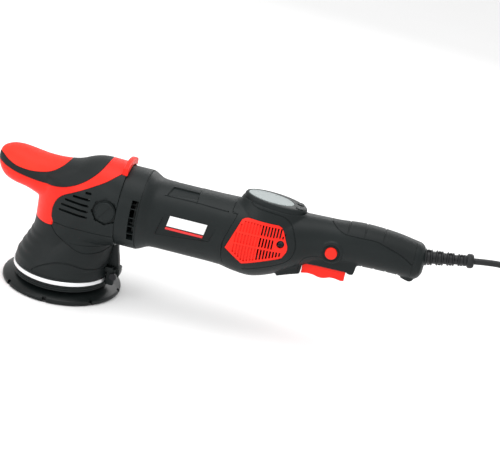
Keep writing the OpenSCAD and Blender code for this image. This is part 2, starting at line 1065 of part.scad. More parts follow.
module cord_coil() {
  color([0.06, 0.06, 0.07]) {
    cord_tube(tail_pts, cord_d / 2);
    translate([coil_x, coil_y, 0.8])
      rotate_extrude()
        polygon([[coil_in, 3], [coil_in + 3, 0], [coil_out - 3, 0],
          [coil_out, 3], [coil_out, coil_h - 4], [coil_out - 4, coil_h],
          [coil_in + 4, coil_h], [coil_in, coil_h - 4]]);
  }
}

module coil_tie() {
  color([0.1, 0.1, 0.11])
    difference() {
      translate([coil_x - coil_out - 1.2, coil_y - 5, 0])
        cube([coil_out - coil_in + 2.6, 10, coil_h + 2]);
      translate([coil_x, coil_y, 0.8])
        rotate_extrude()
          polygon([[coil_in, 0], [coil_out, 0], [coil_out, coil_h],
            [coil_in, coil_h]]);
    }
}

module plug() {
  color([0.07, 0.07, 0.08])
    translate([plug_x, plug_y, plug_z]) {
      rotate([0, 90, 0])
        translate([0, 0, -38])
          rotate_extrude()
            polygon([[0, 0], [4.4, 0], [4.8, 20], [6.4, 39], [0, 39]]);
      translate([0, 0, -9.8])
        linear_extrude(19.6)
          polygon([[0, -10], [4, -14], [12, -17], [26, -17.8], [38, -17.8],
            [38, 17.8], [26, 17.8], [12, 17], [4, 14], [0, 10]]);
    }
}

module plug_pins() {
  color([0.8, 0.8, 0.82])
    for (y = [-9.5, 9.5])
      xcyl(plug_x + 38, 19, 2.4, plug_z, plug_y + y);
}

hook_face();
backing_plate();
plate_core();
plate_stud();
pad_spindle();
pad_bearings();
eccentric_weight();
drive_spindle();
crown_gear();
spindle_bearings();
bearing_retainer();
retainer_screws();
gear_case();
head_cover();
belly_cover();
handle_shell();
handle_overmold();
handle_insert();
side_caps();
skirt();
shroud_ring();
clamp_band();
clamp_block();
clamp_screw();
skirt_strap();
motor_housing();
label_plates();
stator_core();
field_windings();
armature_shaft();
armature_core();
commutator();
pinion();
fan();
motor_bearings();
brush_holders();
carbon_brushes();
housing_left();
housing_right();
vent_cover_left();
vent_cover_right();
housing_screws();
display_housing();
display_lens();
plus_button();
minus_button();
trigger();
trigger_pin();
trigger_spring();
lock_button();
switch_body();
speed_module();
grip_overmold();
tail_cap();
strain_relief();
cord();
cord_coil();
coil_tie();
plug();
plug_pins();
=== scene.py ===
import json
import math
import bmesh
import bpy
from mathutils import Matrix, Vector
from mathutils.bvhtree import BVHTree


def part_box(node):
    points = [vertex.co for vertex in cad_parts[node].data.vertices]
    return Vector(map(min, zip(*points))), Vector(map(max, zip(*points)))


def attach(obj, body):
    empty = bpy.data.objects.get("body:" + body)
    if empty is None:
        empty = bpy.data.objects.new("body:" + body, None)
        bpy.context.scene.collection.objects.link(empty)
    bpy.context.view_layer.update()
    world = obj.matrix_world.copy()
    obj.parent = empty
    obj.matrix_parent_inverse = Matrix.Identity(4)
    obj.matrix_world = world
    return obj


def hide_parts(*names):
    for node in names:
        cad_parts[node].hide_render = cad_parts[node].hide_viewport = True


# Looks of a dual action polisher. Lengths in this file are in millimetres
# unless a name ends in _m; MM turns them into the frame's metres.
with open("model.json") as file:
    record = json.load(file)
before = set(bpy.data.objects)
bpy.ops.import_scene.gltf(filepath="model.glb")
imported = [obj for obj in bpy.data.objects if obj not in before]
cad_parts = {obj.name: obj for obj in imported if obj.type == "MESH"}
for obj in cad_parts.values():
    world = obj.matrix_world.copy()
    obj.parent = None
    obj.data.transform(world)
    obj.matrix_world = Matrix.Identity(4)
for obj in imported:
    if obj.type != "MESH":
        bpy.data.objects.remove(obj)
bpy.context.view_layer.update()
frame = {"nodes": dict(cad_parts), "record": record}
MM = 0.001
SIDES = (-1, 1)
AXIS_Z = 104.0
GRIP_Z = 123.5
PAD_Y = 7.5
CORD_D = 6.5
PLUG_Y, PLUG_Z = -43.2, 10.5
LOCK_X, LOCK_Z = 271.5, 115.8


def link_object(name, data):
    obj = bpy.data.objects.new(name, data)
    bpy.context.scene.collection.objects.link(obj)
    return obj


# ---- camera
def make_camera():
    """Three-quarter side view from above, turned clockwise with the tool."""
    back = Vector((0.1095, -0.9210, 0.3739))
    right = Vector((0.9641, 0.1900, 0.1855))
    up = Vector((-0.2419, 0.3402, 0.9087))
    middle = Vector((0.150, 0.0, 0.093))
    place = middle + back * 1.25
    target = middle + right * 0.0381 + up * 0.0118
    z = (place - target).normalized()
    x = (right - z * right.dot(z)).normalized()
    y = z.cross(x)
    data = bpy.data.cameras.new("camera")
    data.sensor_fit = "HORIZONTAL"
    data.sensor_width = 36.0
    data.lens = 88.1
    data.clip_start = 0.01
    data.clip_end = 50.0
    camera = link_object("camera", data)
    rotation = Matrix((x, y, z)).transposed().to_4x4()
    camera.matrix_world = Matrix.Translation(place) @ rotation
    bpy.context.scene.camera = camera


# ---- materials
def new_material(name="material"):
    material = bpy.data.materials.new(name)
    material.use_nodes = True
    tree = material.node_tree
    return material, tree, tree.nodes["Principled BSDF"]


def add_node(tree, kind, **values):
    """New node with attributes or, with _ for a space, input values."""
    node = tree.nodes.new(kind)
    for key, value in values.items():
        if hasattr(node, key):
            setattr(node, key, value)
        else:
            node.inputs[key.replace("_", " ")].default_value = value
    return node


def noise(tree, scale, detail=2.0, roughness=0.5, stretch=(1, 1, 1)):
    """Noise in object space, with its cells drawn out by stretch."""
    place = add_node(tree, "ShaderNodeTexCoord")
    shape = add_node(tree, "ShaderNodeMapping", Scale=stretch)
    texture = add_node(tree, "ShaderNodeTexNoise", Scale=scale, Detail=detail,
                       Roughness=roughness)
    tree.links.new(place.outputs["Object"], shape.inputs["Vector"])
    tree.links.new(shape.outputs["Vector"], texture.inputs["Vector"])
    return texture.outputs["Fac"]


def ramp(tree, factor, low, high, start=0.0, end=1.0):
    """Colour that goes from low to high with the factor."""
    node = add_node(tree, "ShaderNodeValToRGB")
    for stop, colour, position in zip(node.color_ramp.elements, (low, high), (start, end)):
        stop.position = position
        stop.color = (*colour, 1)
    tree.links.new(factor, node.inputs["Fac"])
    return node.outputs["Color"]


def mixed(tree, factor, tone, other):
    """Colour that goes from tone to a fixed colour with the factor."""
    mix = add_node(tree, "ShaderNodeMix", data_type="RGBA")
    mix.inputs["B"].default_value = (*other, 1)
    tree.links.new(factor, mix.inputs["Factor"])
    tree.links.new(tone, mix.inputs["A"])
    return mix.outputs["Result"]


def set_gloss(tree, shader, factor, low, high):
    gloss = add_node(tree, "ShaderNodeMapRange", To_Min=low, To_Max=high)
    tree.links.new(factor, gloss.inputs["Value"])
    tree.links.new(gloss.outputs["Result"], shader.inputs["Roughness"])


def set_bump(tree, shader, height, strength, reach):
    bump = add_node(tree, "ShaderNodeBump", Strength=strength, Distance=reach)
    tree.links.new(height, bump.inputs["Height"])
    tree.links.new(bump.outputs["Normal"], shader.inputs["Normal"])


def moulded(dark, light, rough, grain=900.0, depth=0.12, spread=0.08, specular=0.5, wear=0.0):
    """Moulded plastic or rubber: fine grain, soft colour and gloss changes."""
    material, tree, shader = new_material()
    link = tree.links.new
    tone = ramp(tree, noise(tree, 22.0, 4.0, 0.55), dark, light, 0.3, 0.72)
    if wear > 0:
        edge = add_node(tree, "ShaderNodeNewGeometry")
        worn = ramp(tree, edge.outputs["Pointiness"], (0, 0, 0), (wear,) * 3, 0.52, 0.62)
        tone = mixed(tree, worn, tone, [min(1.0, c * 2.2 + 0.02) for c in light])
    link(tone, shader.inputs["Base Color"])
    fine = noise(tree, grain, 3.0, 0.6)
    set_gloss(tree, shader, fine, max(0.02, rough - spread), min(1.0, rough + spread))
    place = add_node(tree, "ShaderNodeTexCoord")
    pits = add_node(tree, "ShaderNodeTexVoronoi", Scale=grain * 1.3)
    link(place.outputs["Object"], pits.inputs["Vector"])
    height = add_node(tree, "ShaderNodeMath", operation="ADD")
    link(fine, height.inputs[0])
    link(pits.outputs["Distance"], height.inputs[1])
    set_bump(tree, shader, height.outputs["Value"], depth, 0.0004)
    shader.inputs["Specular IOR Level"].default_value = specular
    return material


def metal(tone, rough, stretch=(1, 1, 1), scale=260.0):
    """Machined or drawn metal with fine directional marks."""
    material, tree, shader = new_material()
    marks = noise(tree, scale, 5.0, 0.6, stretch)
    colour = ramp(tree, marks, [c * 0.82 for c in tone], tone)
    tree.links.new(colour, shader.inputs["Base Color"])
    set_gloss(tree, shader, marks, max(0.05, rough - 0.08), rough + 0.1)
    set_bump(tree, shader, marks, 0.08, 0.0003)
    shader.inputs["Metallic"].default_value = 1.0
    return material


MATERIALS = {
    "black_shell": moulded((0.0060, 0.0088, 0.0090), (0.0090, 0.0125, 0.0128),
                           0.44, grain=1500.0, depth=0.10, specular=0.2, wear=0.05),
    "black_rubber": moulded((0.0066, 0.0090, 0.0092), (0.0096, 0.0125, 0.0128),
                            0.5, grain=1900.0, depth=0.16, specular=0.2),
    "red_plastic": moulded((0.84, 0.017, 0.009), (0.90, 0.026, 0.013),
                           0.42, grain=1600.0, depth=0.06, spread=0.05, specular=0.18),
    "red_rubber": moulded((0.86, 0.024, 0.012), (0.92, 0.036, 0.018),
                          0.5, grain=1500.0, depth=0.12, spread=0.05, specular=0.16),
    "plate_plastic": moulded((0.004, 0.006, 0.006), (0.007, 0.009, 0.009),
                             0.34, grain=700.0, depth=0.05, spread=0.06, specular=0.2),
    "cord_rubber": moulded((0.007, 0.008, 0.009), (0.012, 0.013, 0.014),
                           0.42, grain=1200.0, depth=0.2, specular=0.3),
    "hook_fabric": moulded((0.02, 0.02, 0.021), (0.06, 0.06, 0.062),
                           0.9, grain=1400.0, depth=1.0),
    "carbon": moulded((0.03, 0.03, 0.03), (0.06, 0.06, 0.06), 0.6),
    "board": moulded((0.01, 0.10, 0.05), (0.02, 0.15, 0.08), 0.4),
    "steel": metal((0.66, 0.67, 0.69), 0.3),
    "gear_steel": metal((0.46, 0.44, 0.41), 0.36),
    "dark_steel": metal((0.035, 0.035, 0.038), 0.42),
    "cast_alloy": metal((0.62, 0.63, 0.64), 0.5, scale=900.0),
    "cast_weight": metal((0.30, 0.31, 0.32), 0.55, scale=900.0),
    "copper": metal((0.75, 0.36, 0.17), 0.34),
    "brass": metal((0.72, 0.56, 0.28), 0.32),
    "bright_band": metal((0.93, 0.94, 0.95), 0.3, stretch=(1, 1, 6)),
}


def lens_material():
    """Smoked display window with a pale grey screen under it."""
    material, tree, shader = new_material()
    tone = ramp(tree, noise(tree, 35.0), (0.145, 0.175, 0.175), (0.195, 0.23, 0.23))
    tree.links.new(tone, shader.inputs["Base Color"])
    shader.inputs["Roughness"].default_value = 0.3
    shader.inputs["Specular IOR Level"].default_value = 0.25
    return material


def label_material():
    """Printed plate, white above the height where its red bar starts."""
    material, tree, shader = new_material()
    place = add_node(tree, "ShaderNodeTexCoord")
    split = add_node(tree, "ShaderNodeSeparateXYZ")
    tree.links.new(place.outputs["Object"], split.inputs["Vector"])
    foot = add_node(tree, "ShaderNodeMath", operation="LESS_THAN")
    foot.inputs[1].default_value = 0.105
    tree.links.new(split.outputs["Z"], foot.inputs[0])
    white = ramp(tree, noise(tree, 400.0), (0.80, 0.81, 0.81), (0.88, 0.88, 0.88))
    tone = mixed(tree, foot.outputs["Value"], white, (0.72, 0.02, 0.02))
    tree.links.new(tone, shader.inputs["Base Color"])
    shader.inputs["Roughness"].default_value = 0.35
    return material


MATERIALS["lens"] = lens_material()
MATERIALS["label"] = label_material()
for slot_name, slot_material in MATERIALS.items():
    slot_material.name = slot_name


# ---- meshes
def mesh_from(name, points, faces):
    """Closed mesh from points in millimetres, normals turned outwards."""
    mesh = bpy.data.meshes.new(name)
    mesh.from_pydata([Vector(p) * MM for p in points], [], faces)
    body = bmesh.new()
    body.from_mesh(mesh)
    bmesh.ops.remove_doubles(body, verts=body.verts, dist=1e-7)
    bmesh.ops.recalc_face_normals(body, faces=body.faces)
    body.to_mesh(mesh)
    body.free()
    return link_object(name, mesh)


def bake(obj):
    """Applies the object's modifiers."""
    graph = bpy.context.evaluated_depsgraph_get()
    mesh = bpy.data.meshes.new_from_object(obj.evaluated_get(graph))
    old = obj.data
    obj.modifiers.clear()
    obj.data = mesh
    bpy.data.meshes.remove(old)
    return obj


def combine(obj, other, operation, keep=False):
    """Boolean of obj with other, which is used up unless keep is true."""
    cut = obj.modifiers.new("cut", "BOOLEAN")
    cut.operation = operation
    cut.solver = "MANIFOLD"
    cut.object = other
    bake(obj)
    if not keep:
        bpy.data.objects.remove(other)
    return obj


def less(obj, other, keep=False):
    return combine(obj, other, "DIFFERENCE", keep)


def both(obj, other, keep=False):
    return combine(obj, other, "INTERSECT", keep)


def joined(obj, other, keep=False):
    return combine(obj, other, "UNION", keep)


def copy_of(obj, name):
    return link_object(name, obj.data.copy())


def remesh(obj, voxel, smooth=8):
    """One skin over everything in obj, with its corners rounded off."""
    skin = obj.modifiers.new("skin", "REMESH")
    skin.mode = "VOXEL"
    skin.voxel_size = voxel * MM
    if smooth:
        soft = obj.modifiers.new("soft", "SMOOTH")
        soft.iterations = smooth
    return bake(obj)


def rounded(obj, width, segments=3, angle=40.0):
    """Rounds every edge that turns by more than the angle."""
    edge = obj.modifiers.new("edge", "BEVEL")
    edge.width = width * MM
    edge.segments = segments
    edge.limit_method = "ANGLE"
    edge.angle_limit = math.radians(angle)
    return bake(obj)


def placed(obj, shift, angle=0.0, axis="Z"):
    """Turns obj's mesh about the origin, then moves it by shift."""
    obj.data.transform(Matrix.Translation(Vector(shift) * MM)
                       @ Matrix.Rotation(math.radians(angle), 4, axis))
    return obj


def merged(name, parts):
    """Union of all the parts, under a new name."""
    whole, *rest = parts
    for part in rest:
        joined(whole, part)
    whole.name = name
    return whole


def circle(count):
    """Cosine and sine of each corner of a regular polygon."""
    angles = [2 * math.pi * j / count for j in range(count)]
    return [(math.cos(a), math.sin(a)) for a in angles]


def curve_through(points, steps):
    """Catmull-Rom points through a list of tuples of any length."""
    out = []
    last = len(points) - 1
    for i in range(last):
        a, b = points[max(i - 1, 0)], points[i]
        c, d = points[i + 1], points[min(i + 2, last)]
        for k in range(steps):
            t = k / steps
            out.append(tuple(
                0.5 * (2 * q + (r - p) * t + (2 * p - 5 * q + 4 * r - s) * t * t
                       + (3 * q - p - 3 * r + s) * t ** 3)
                for p, q, r, s in zip(a, b, c, d)))
    out.append(tuple(points[-1]))
    return out


def loft(name, stations, sides=96, steps=6, inset=0.0):
    """Smooth closed body through elliptical stations (x, z, half y, half z)."""
    points = [(x, max(ry - inset, 0.4) * c, z + max(rz - inset, 0.4) * s)
              for x, z, ry, rz in curve_through(stations, steps) for c, s in circle(sides)]
    return tube_mesh(name, points, sides)


def tube_mesh(name, points, sides):
    """Closed skin over rings of points that each have the same number of sides."""
    last = len(points) - sides
    faces = [tuple(range(sides)), tuple(range(last, last + sides))]
    for i in range(0, last, sides):
        for j in range(sides):
            k = (j + 1) % sides
            faces.append((i + j, i + k, i + sides + k, i + sides + j))
    return mesh_from(name, points, faces)


def spun(name, profile, turn="Z", centre=(0, 0, 0), sides=128, radius=None):
    """Solid of revolution from a closed outline of (radius, height) points.
    radius(r, h, angle), if given, changes each point's radius."""
    points, faces = [], []
    n = len(profile)
    for j in range(sides):
        k = (j + 1) % sides
        a = 2 * math.pi * j / sides
        for i, (r, h) in enumerate(profile):
            m = (i + 1) % n
            q = radius(r, h, a) if radius else r
            u, v = q * math.cos(a), q * math.sin(a)
            local = {"X": (h, u, v), "Y": (u, h, v), "Z": (u, v, h)}[turn]
            points.append(tuple(c + w for c, w in zip(centre, local)))
            faces.append((j * n + i, j * n + m, k * n + m, k * n + i))
    return mesh_from(name, points, faces)


def slab(outline, y0=-60, y1=60, name="slab"):
    """Prism across the machine from a side outline of (x, z) points."""
    n = len(outline)
    points = [(x, y, z) for y in (y0, y1) for x, z in outline]
    faces = [tuple(range(n)), tuple(range(2 * n - 1, n - 1, -1))]
    faces += [(i, (i + 1) % n, n + (i + 1) % n, n + i) for i in range(n)]
    return mesh_from(name, points, faces)


def block(low, high):
    (x0, y0, z0), (x1, y1, z1) = low, high
    return slab([(x0, z0), (x1, z0), (x1, z1), (x0, z1)], y0, y1)


def rod(start, direction, length, r, sides=48):
    """Plain cylinder used as a cutting tool or as stock for a shaped piece."""
    z = Vector(direction).normalized()
    x = z.orthogonal().normalized()
    y = z.cross(x)
    points = [tuple(Vector(start) + z * h + x * r * c + y * r * s)
              for h in (0, length) for c, s in circle(sides)]
    return tube_mesh("rod", points, sides)


def sweep(points, r, sides=12):
    """Closed round tube along a path."""
    path = [Vector(p) for p in points]
    out = []
    x = None
    for i, p in enumerate(path):
        d = (path[min(i + 1, len(path) - 1)] - path[max(i - 1, 0)]).normalized()
        x = d.orthogonal().normalized() if x is None else (x - d * x.dot(d)).normalized()
        y = d.cross(x)
        out += [tuple(p + x * r * c + y * r * s) for c, s in circle(sides)]
    return tube_mesh("sweep", out, sides)


def skin_tree(obj):
    return BVHTree.FromObject(obj, bpy.context.evaluated_depsgraph_get())


def surface_path(obj, outline, side, steps=8):
    """Points where a side-view line meets obj's skin on one side (-1 or 1)."""
    tree = skin_tree(obj)
    out = []
    for x, z in curve_through(outline, steps):
        hit = tree.ray_cast(Vector((x, side * 90, z)) * MM, Vector((0, -side, 0)))
        if hit[0] is not None:
            out.append(tuple(hit[0] / MM))
    return out


def section_path(obj, x, middle, spread, lift=0.35):
    """Points round obj's skin in the plane at x, seen from the grip's axis."""
    tree = skin_tree(obj)
    out = []
    for k in range(33):
        a = math.radians(middle - spread + 2 * spread * k / 32)
        way = Vector((0, math.cos(a), math.sin(a)))
        fade = abs(k - 16) / 16
        hit = tree.ray_cast(Vector((x, 0, GRIP_Z)) * MM + way * 0.08, -way)
        if hit[0] is not None:
            out.append(tuple(hit[0] / MM + way * (lift + 0.8 * fade ** 3)))
    return out


def grooves(obj, *lines):
    """Cuts round grooves into obj's skin on both sides, each along a side-view
    line given as (outline, radius) or (outline, radius, steps)."""
    for side in SIDES:
        for outline, r, *steps in lines:
            path = surface_path(obj, outline, side, *steps)
            if len(path) > 2:
                less(obj, sweep(path, r, 10))


def finish_piece(obj, slot, *nodes, body="machine", sharp=35.0):
    """Material, body and the CAD nodes that the piece is shown instead of."""
    obj.data.shade_smooth()
    obj.data.set_sharp_from_angle(angle=math.radians(sharp))
    obj.data.materials.clear()
    obj.data.materials.append(MATERIALS[slot])
    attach(obj, body)
    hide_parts(*nodes)
    return obj


# ---- cord
CORD_START = [
    (410.3, 0, 135.1), (424, 0, 137.2), (438, 0, 138.2), (452, -1, 136),
    (464, -3, 130), (473, -6, 120.5), (478.5, -10, 109), (481, -14, 96),
    (482, -19, 82), (483, -24, 68), (485.5, -29.5, 54), (489.5, -33.8, 42),
    (494, -37.2, 34.8), (500, -40, 29.6), (507, -42, 26.6), (515, -43, 25),
    (523, -43.3, 24.3), (532, -43.3, 23.95)]
CORD_END = [(556, -43.2, 4.5), (564, -43.2, 6.1), (573, -43.2, 8.6),
            (581, -43.2, 10.2), (588, -43.2, 10.5)]
COIL_X, COIL_Y = 545.0, 9.0
COIL_TURNS = 3.5
COIL_LAYERS = (23.85, 17.25, 10.65, 4.05)
COIL_OUTER, COIL_INNER = 52.25, 29.5


def coil_points(per_turn=16):
    """Neat winding from the top layer down, in and out across each layer."""
    out = []
    total = COIL_TURNS * len(COIL_LAYERS)
    for i in range(int(total * per_turn) + 1):
        t = i / per_turn
        layer = min(int(t / COIL_TURNS), len(COIL_LAYERS) - 1)
        f = t / COIL_TURNS - layer
        f = f if layer % 2 == 0 else 1 - f
        r = COIL_OUTER + (COIL_INNER - COIL_OUTER) * f
        z = COIL_LAYERS[0]
        for k in range(1, len(COIL_LAYERS)):
            s = (t - k * COIL_TURNS + 0.2) / 0.4
            s = max(0.0, min(1.0, s))
            z += (COIL_LAYERS[k] - COIL_LAYERS[k - 1]) * s * s * (3 - 2 * s)
        a = math.radians(-90 + 360 * t)
        out.append((COIL_X + r * math.cos(a), COIL_Y + r * math.sin(a), z))
    return out


def make_cord():
    """The whole lead on one open line, its far end inside the plug's sleeve."""
    route = curve_through(CORD_START + coil_points() + CORD_END, 3)
    data = bpy.data.curves.new("power_cord", "CURVE")
    data.dimensions = "3D"
    data.bevel_depth = CORD_D / 2 * MM
    data.bevel_resolution = 4
    data.use_fill_caps = True
    line = data.splines.new("POLY")
    line.points.add(len(route) - 1)
    for point, place in zip(line.points, route):
        point.co = (*(Vector(place) * MM), 1.0)
    line.use_smooth = True
    cord = link_object("power_cord", data)
    data.materials.append(MATERIALS["cord_rubber"])
    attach(cord, "machine")
    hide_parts("cord", "cord_coil")
    return cord


# ---- stage
def make_floor():
    bpy.ops.mesh.primitive_plane_add(size=60, location=(0.2, 0, -0.0002))
    floor = bpy.context.object
    floor.name = "floor"
    material, tree, shader = new_material("floor_paper")
    tone = ramp(tree, noise(tree, 3.0, 3.0), (0.90, 0.90, 0.90), (0.93, 0.93, 0.93))
    tree.links.new(tone, shader.inputs["Base Color"])
    shader.inputs["Roughness"].default_value = 0.75
    floor.data.materials.append(material)


def area_light(name, place, aim, size, power, size_y=None):
    data = bpy.data.lights.new(name, "AREA")
    data.shape = "RECTANGLE"
    data.size = size
    data.size_y = size_y or size
    data.energy = power
    turn = (Vector(place) - Vector(aim)).to_track_quat("Z", "Y")
    link_object(name, data).matrix_world = (Matrix.Translation(Vector(place))
                                            @ turn.to_matrix().to_4x4())


def make_lights():
    world = bpy.data.worlds.new("studio")
    world.use_nodes = True
    sky = world.node_tree.nodes["Background"]
    sky.inputs["Color"].default_value = (1, 1, 1, 1)
    sky.inputs["Strength"].default_value = 0.95
    bpy.context.scene.world = world
    aim = (0.15, 0, 0.09)
    area_light("top_soft", (0.05, -0.15, 1.5), aim, 1.3, 9, 0.8)
    area_light("key_left", (-0.9, -1.1, 0.9), aim, 0.8, 7)
    area_light("rim_back", (0.5, 1.3, 0.8), aim, 1.2, 6, 0.4)
    area_light("fill_front", (0.6, -1.6, 0.25), aim, 0.8, 1.5)
    bpy.context.scene.view_settings.view_transform = "Standard"


def paint_cad_nodes():
    """Every CAD node that is still shown gets the material of its own slot."""
    slots = {sub["node"]: sub["material_slot"]
             for sub in frame["record"]["subparts"]}
    for name, obj in frame["nodes"].items():
        material = MATERIALS[slots[name]]
        if not obj.material_slots:
            obj.data.materials.append(material)
        for place in obj.material_slots:
            place.material = material


# ---- head
# Stations along x: (x, centre z, half width y, half height z).
HEAD = [(-81.5, 127, 3, 3), (-79.6, 126.4, 10, 8.7), (-75.5, 124.3, 16, 13.7),
        (-69, 122.5, 20.5, 17.8), (-59, 121, 23, 19.8), (-46, 119, 24, 20.2),
        (-32, 115.5, 25, 22), (-16, 112, 28, 25.5), (0, 111, 32, 29),
        (14, 112, 35, 34), (26, 111.5, 37, 37.5), (40, 108, 39.5, 41),
        (55, 105, 42, 43.2), (60, 104, 42.2, 43.2)]
RED_LOW = [(-90, 90), (-60, 79), (-40, 76), (-10, 76.3), (-11, 86), (-11, 95),
           (-8, 104), (-2, 111), (8, 117), (23, 125), (37, 133), (46, 139.5),
           (52, 143.5), (56, 146)]
MOLD_LOW = [(-90, 124.5), (-76, 124.5), (-66, 121.5), (-50, 117.5), (-28, 115.5),
            (-6, 118.5), (14, 127), (28, 139), (36, 152)]
INSERT_LOW = [(-90, 133), (-75, 132), (-66, 128.5), (-55, 125), (-39, 124),
              (-23, 127), (-12, 133.5), (-6, 141), (-6, 150)]
BELLY = [(-9.5, 79.9), (-8.5, 75), (-4.5, 70), (2, 65.5), (13, 60.5), (24.4, 56),
         (35.1, 55.2), (45.4, 57.5), (53, 63)]
HEAD_SLOTS = [(21, 119.5), (9, 113.3), (1, 107.1), (-2.5, 100.9), (-4, 94.7)]
CAP_X, CAP_Z = 44.0, 106.5


def above(line, top=170.0):
    """Side outline of everything over a line."""
    smooth = curve_through(line, 6)
    return smooth + [(smooth[-1][0], top), (smooth[0][0], top)]


def neck_hull(name, spindle_r, levels, motor_r, ends, sides):
    """Convex body round level discs on the spindle and discs on the motor axis."""
    body = bmesh.new()
    for c, s in circle(sides):
        for z in levels:
            body.verts.new(Vector((spindle_r * c, spindle_r * s, z)) * MM)
        for x in ends:
            body.verts.new(Vector((x, motor_r * c, AXIS_Z + motor_r * s)) * MM)
    bmesh.ops.convex_hull(body, input=body.verts)
    mesh = bpy.data.meshes.new(name)
    body.to_mesh(mesh)
    body.free()
    return link_object(name, mesh)


def head_skin():
    """Handle and gear head as one softly blended skin, cut flat at its ends."""
    skin = loft("head", HEAD)
    neck = neck_hull("neck", 34.5, (58, 124), 41.5, (20, 60), 72)
    joined(skin, remesh(neck, 1.6, 0))
    joined(skin, ring_stack("belly_fill", [
        (13.9, 36.7, 57), (14, 36.6, 62.6), (13.4, 36.0, 67), (11.5, 34.8, 72.5),
        (8, 33.0, 80)], 3))
    remesh(skin, 1.05, 14)
    return both(skin, block((-90, -60, 62.6), (55.1, 60, 170)))


def head_hollow():
    """Room inside the head for the gear case and the hand grip's cavity."""
    room = joined(rod((0, 0, 50), (0, 0, 1), 62, 32.35, 72),
                  rod((0, 0, 50), (0, 0, 1), 78.2, 19.15, 72))
    joined(room, rod((24, 0, AXIS_Z), (1, 0, 0), 45, 35.65, 72))
    return joined(room, loft("hollow", HEAD[1:-2], 64, 4, inset=4.6))


def cut_head_slot(obj, x0, z, side):
    """One round-ended vent slot through the wall on one side."""
    x1, h = 27.5, 1.2
    ends = [(x + h * math.cos(a + math.pi * k / 8), z + h + h * math.sin(a + math.pi * k / 8))
            for x, a in ((x0 + h, math.pi / 2), (x1 - h, -math.pi / 2)) for k in range(9)]
    less(obj, slab(ends, side * 33, side * 60))


def cap_ring_cut(side):
    """Ring with castle-like notches round the plug that covers the brush end."""
    outline = []
    for k, (c, s) in enumerate(circle(96)):
        wave = 14.0 if k % 12 < 4 else 12.9
        outline.append((CAP_X + wave * c, CAP_Z + wave * s))
    ring = slab(outline, side * 37.8, side * 44.5)
    return less(ring, rod((CAP_X, side * 36.8, CAP_Z), (0, side, 0), 9, 11.0, 96))


def shell_part(skin, name, outline, inside=True):
    """The share of the skin inside (or outside) a side outline."""
    part = copy_of(skin, name)
    return both(part, slab(outline)) if inside else less(part, slab(outline))


def make_head():
    """Handle, side cover and plugs. Returns the belly cover, still to be joined."""
    skin = head_skin()
    grooves(skin, (RED_LOW[4:], 0.5), (MOLD_LOW, 0.6), (INSERT_LOW, 0.55), (BELLY, 0.6))
    grooves(skin, ([(-9.3, 80), (10, 80), (30, 80), (54.5, 80)], 0.45))
    hollow = head_hollow()
    make_handle(skin, hollow)
    belly = make_cover(skin, hollow)
    bpy.data.objects.remove(skin)
    bpy.data.objects.remove(hollow)
    make_side_caps()
    return belly


def make_handle(skin, hollow):
    red = shell_part(skin, "handle_red_shell", above(RED_LOW))
    less(red, slab(above(MOLD_LOW)))
    joined(red, collar_lip())
    grip = shell_part(skin, "handle_soft_grip", above(MOLD_LOW))
    less(grip, slab(above(INSERT_LOW)))
    pad = shell_part(skin, "handle_soft_pad", above(INSERT_LOW))
    for part, slot, node in ((red, "red_plastic", "handle_shell"),
                             (grip, "black_rubber", "handle_overmold"),
                             (pad, "red_rubber", "handle_insert")):
        less(part, hollow, keep=True)
        finish_piece(part, slot, node)


def collar_lip():
    """Raised red rim at the back of the handle, over the top of the collar."""
    profile = [(42.6, 51.2), (49.1, 51.2), (49.9, 52.0), (49.9, 55.6), (49.1, 56.5),
               (43.7, 56.5), (43.7, 55.3), (42.6, 55.3)]
    lip = spun("lip", profile, "X", (0, 0, AXIS_Z), 160)
    return both(lip, block((45, -21, 120), (60, 21, 170)))


def make_cover(skin, hollow):
    cover = shell_part(skin, "head_side_cover", above(RED_LOW), inside=False)
    both(cover, block((-60, -60, 80.1), (60, 60, 170)))
    less(cover, block((50.6, -21.3, 138), (60, 21.3, 170)))
    for side in SIDES:
        for x, z in HEAD_SLOTS:
            cut_head_slot(cover, x, z, side)
        less(cover, cap_ring_cut(side))
        less(cover, rod((CAP_X, side * 60, CAP_Z), (0, -side, 0), 30, 10.45, 72))
    less(cover, hollow, keep=True)
    finish_piece(cover, "black_shell", "head_cover")
    belly = shell_part(skin, "head_belly_cover", BELLY + [(70, 63), (70, 79.9)])
    return less(belly, hollow, keep=True)


def make_side_caps():
    """Two round service plugs with a coin slot and a fine raised rim."""
    profile = [(0, 36.2), (10.2, 36.2), (10.2, 41.2), (9.8, 41.7), (9.0, 41.7),
               (8.7, 41.3), (0, 41.3)]
    caps = []
    for side in SIDES:
        cap = spun("cap", [(r, side * h) for r, h in profile], "Y", (CAP_X, 0, CAP_Z), 96)
        slot = block((-7.6, side * 43 - 2.2, -0.7), (7.6, side * 43 + 2.2, 0.7))
        caps.append(less(cap, placed(slot, (CAP_X, 0, CAP_Z), -52, "Y")))
    finish_piece(merged("side_service_caps", caps), "black_shell", "side_caps")


# ---- skirt and pad
SKIRT = [(49.4, 19.3), (49.4, 24.4), (49.9, 24.8), (49.3, 28), (48.4, 31.5),
         (47.1, 35), (45.5, 38.6), (44.0, 42), (42.5, 45.5), (41.0, 48.6),
         (39.5, 51.6), (38.0, 55), (36.8, 58.4), (35.7, 62), (35, 66), (34.6, 70),
         (34.5, 75.9)]
SKIRT_IN = [(32.4, 75.9), (32.4, 66), (33.2, 60), (35.2, 54), (38, 48.5),
            (41.2, 42), (44, 35.5), (46.2, 31), (47, 28), (47, 19.3)]
ARCH = [(-20, 27.5), (-16, 31.5), (-8, 36.5), (4, 41.5), (18, 42.5), (32, 38.5),
        (42, 36.8), (47, 39)]


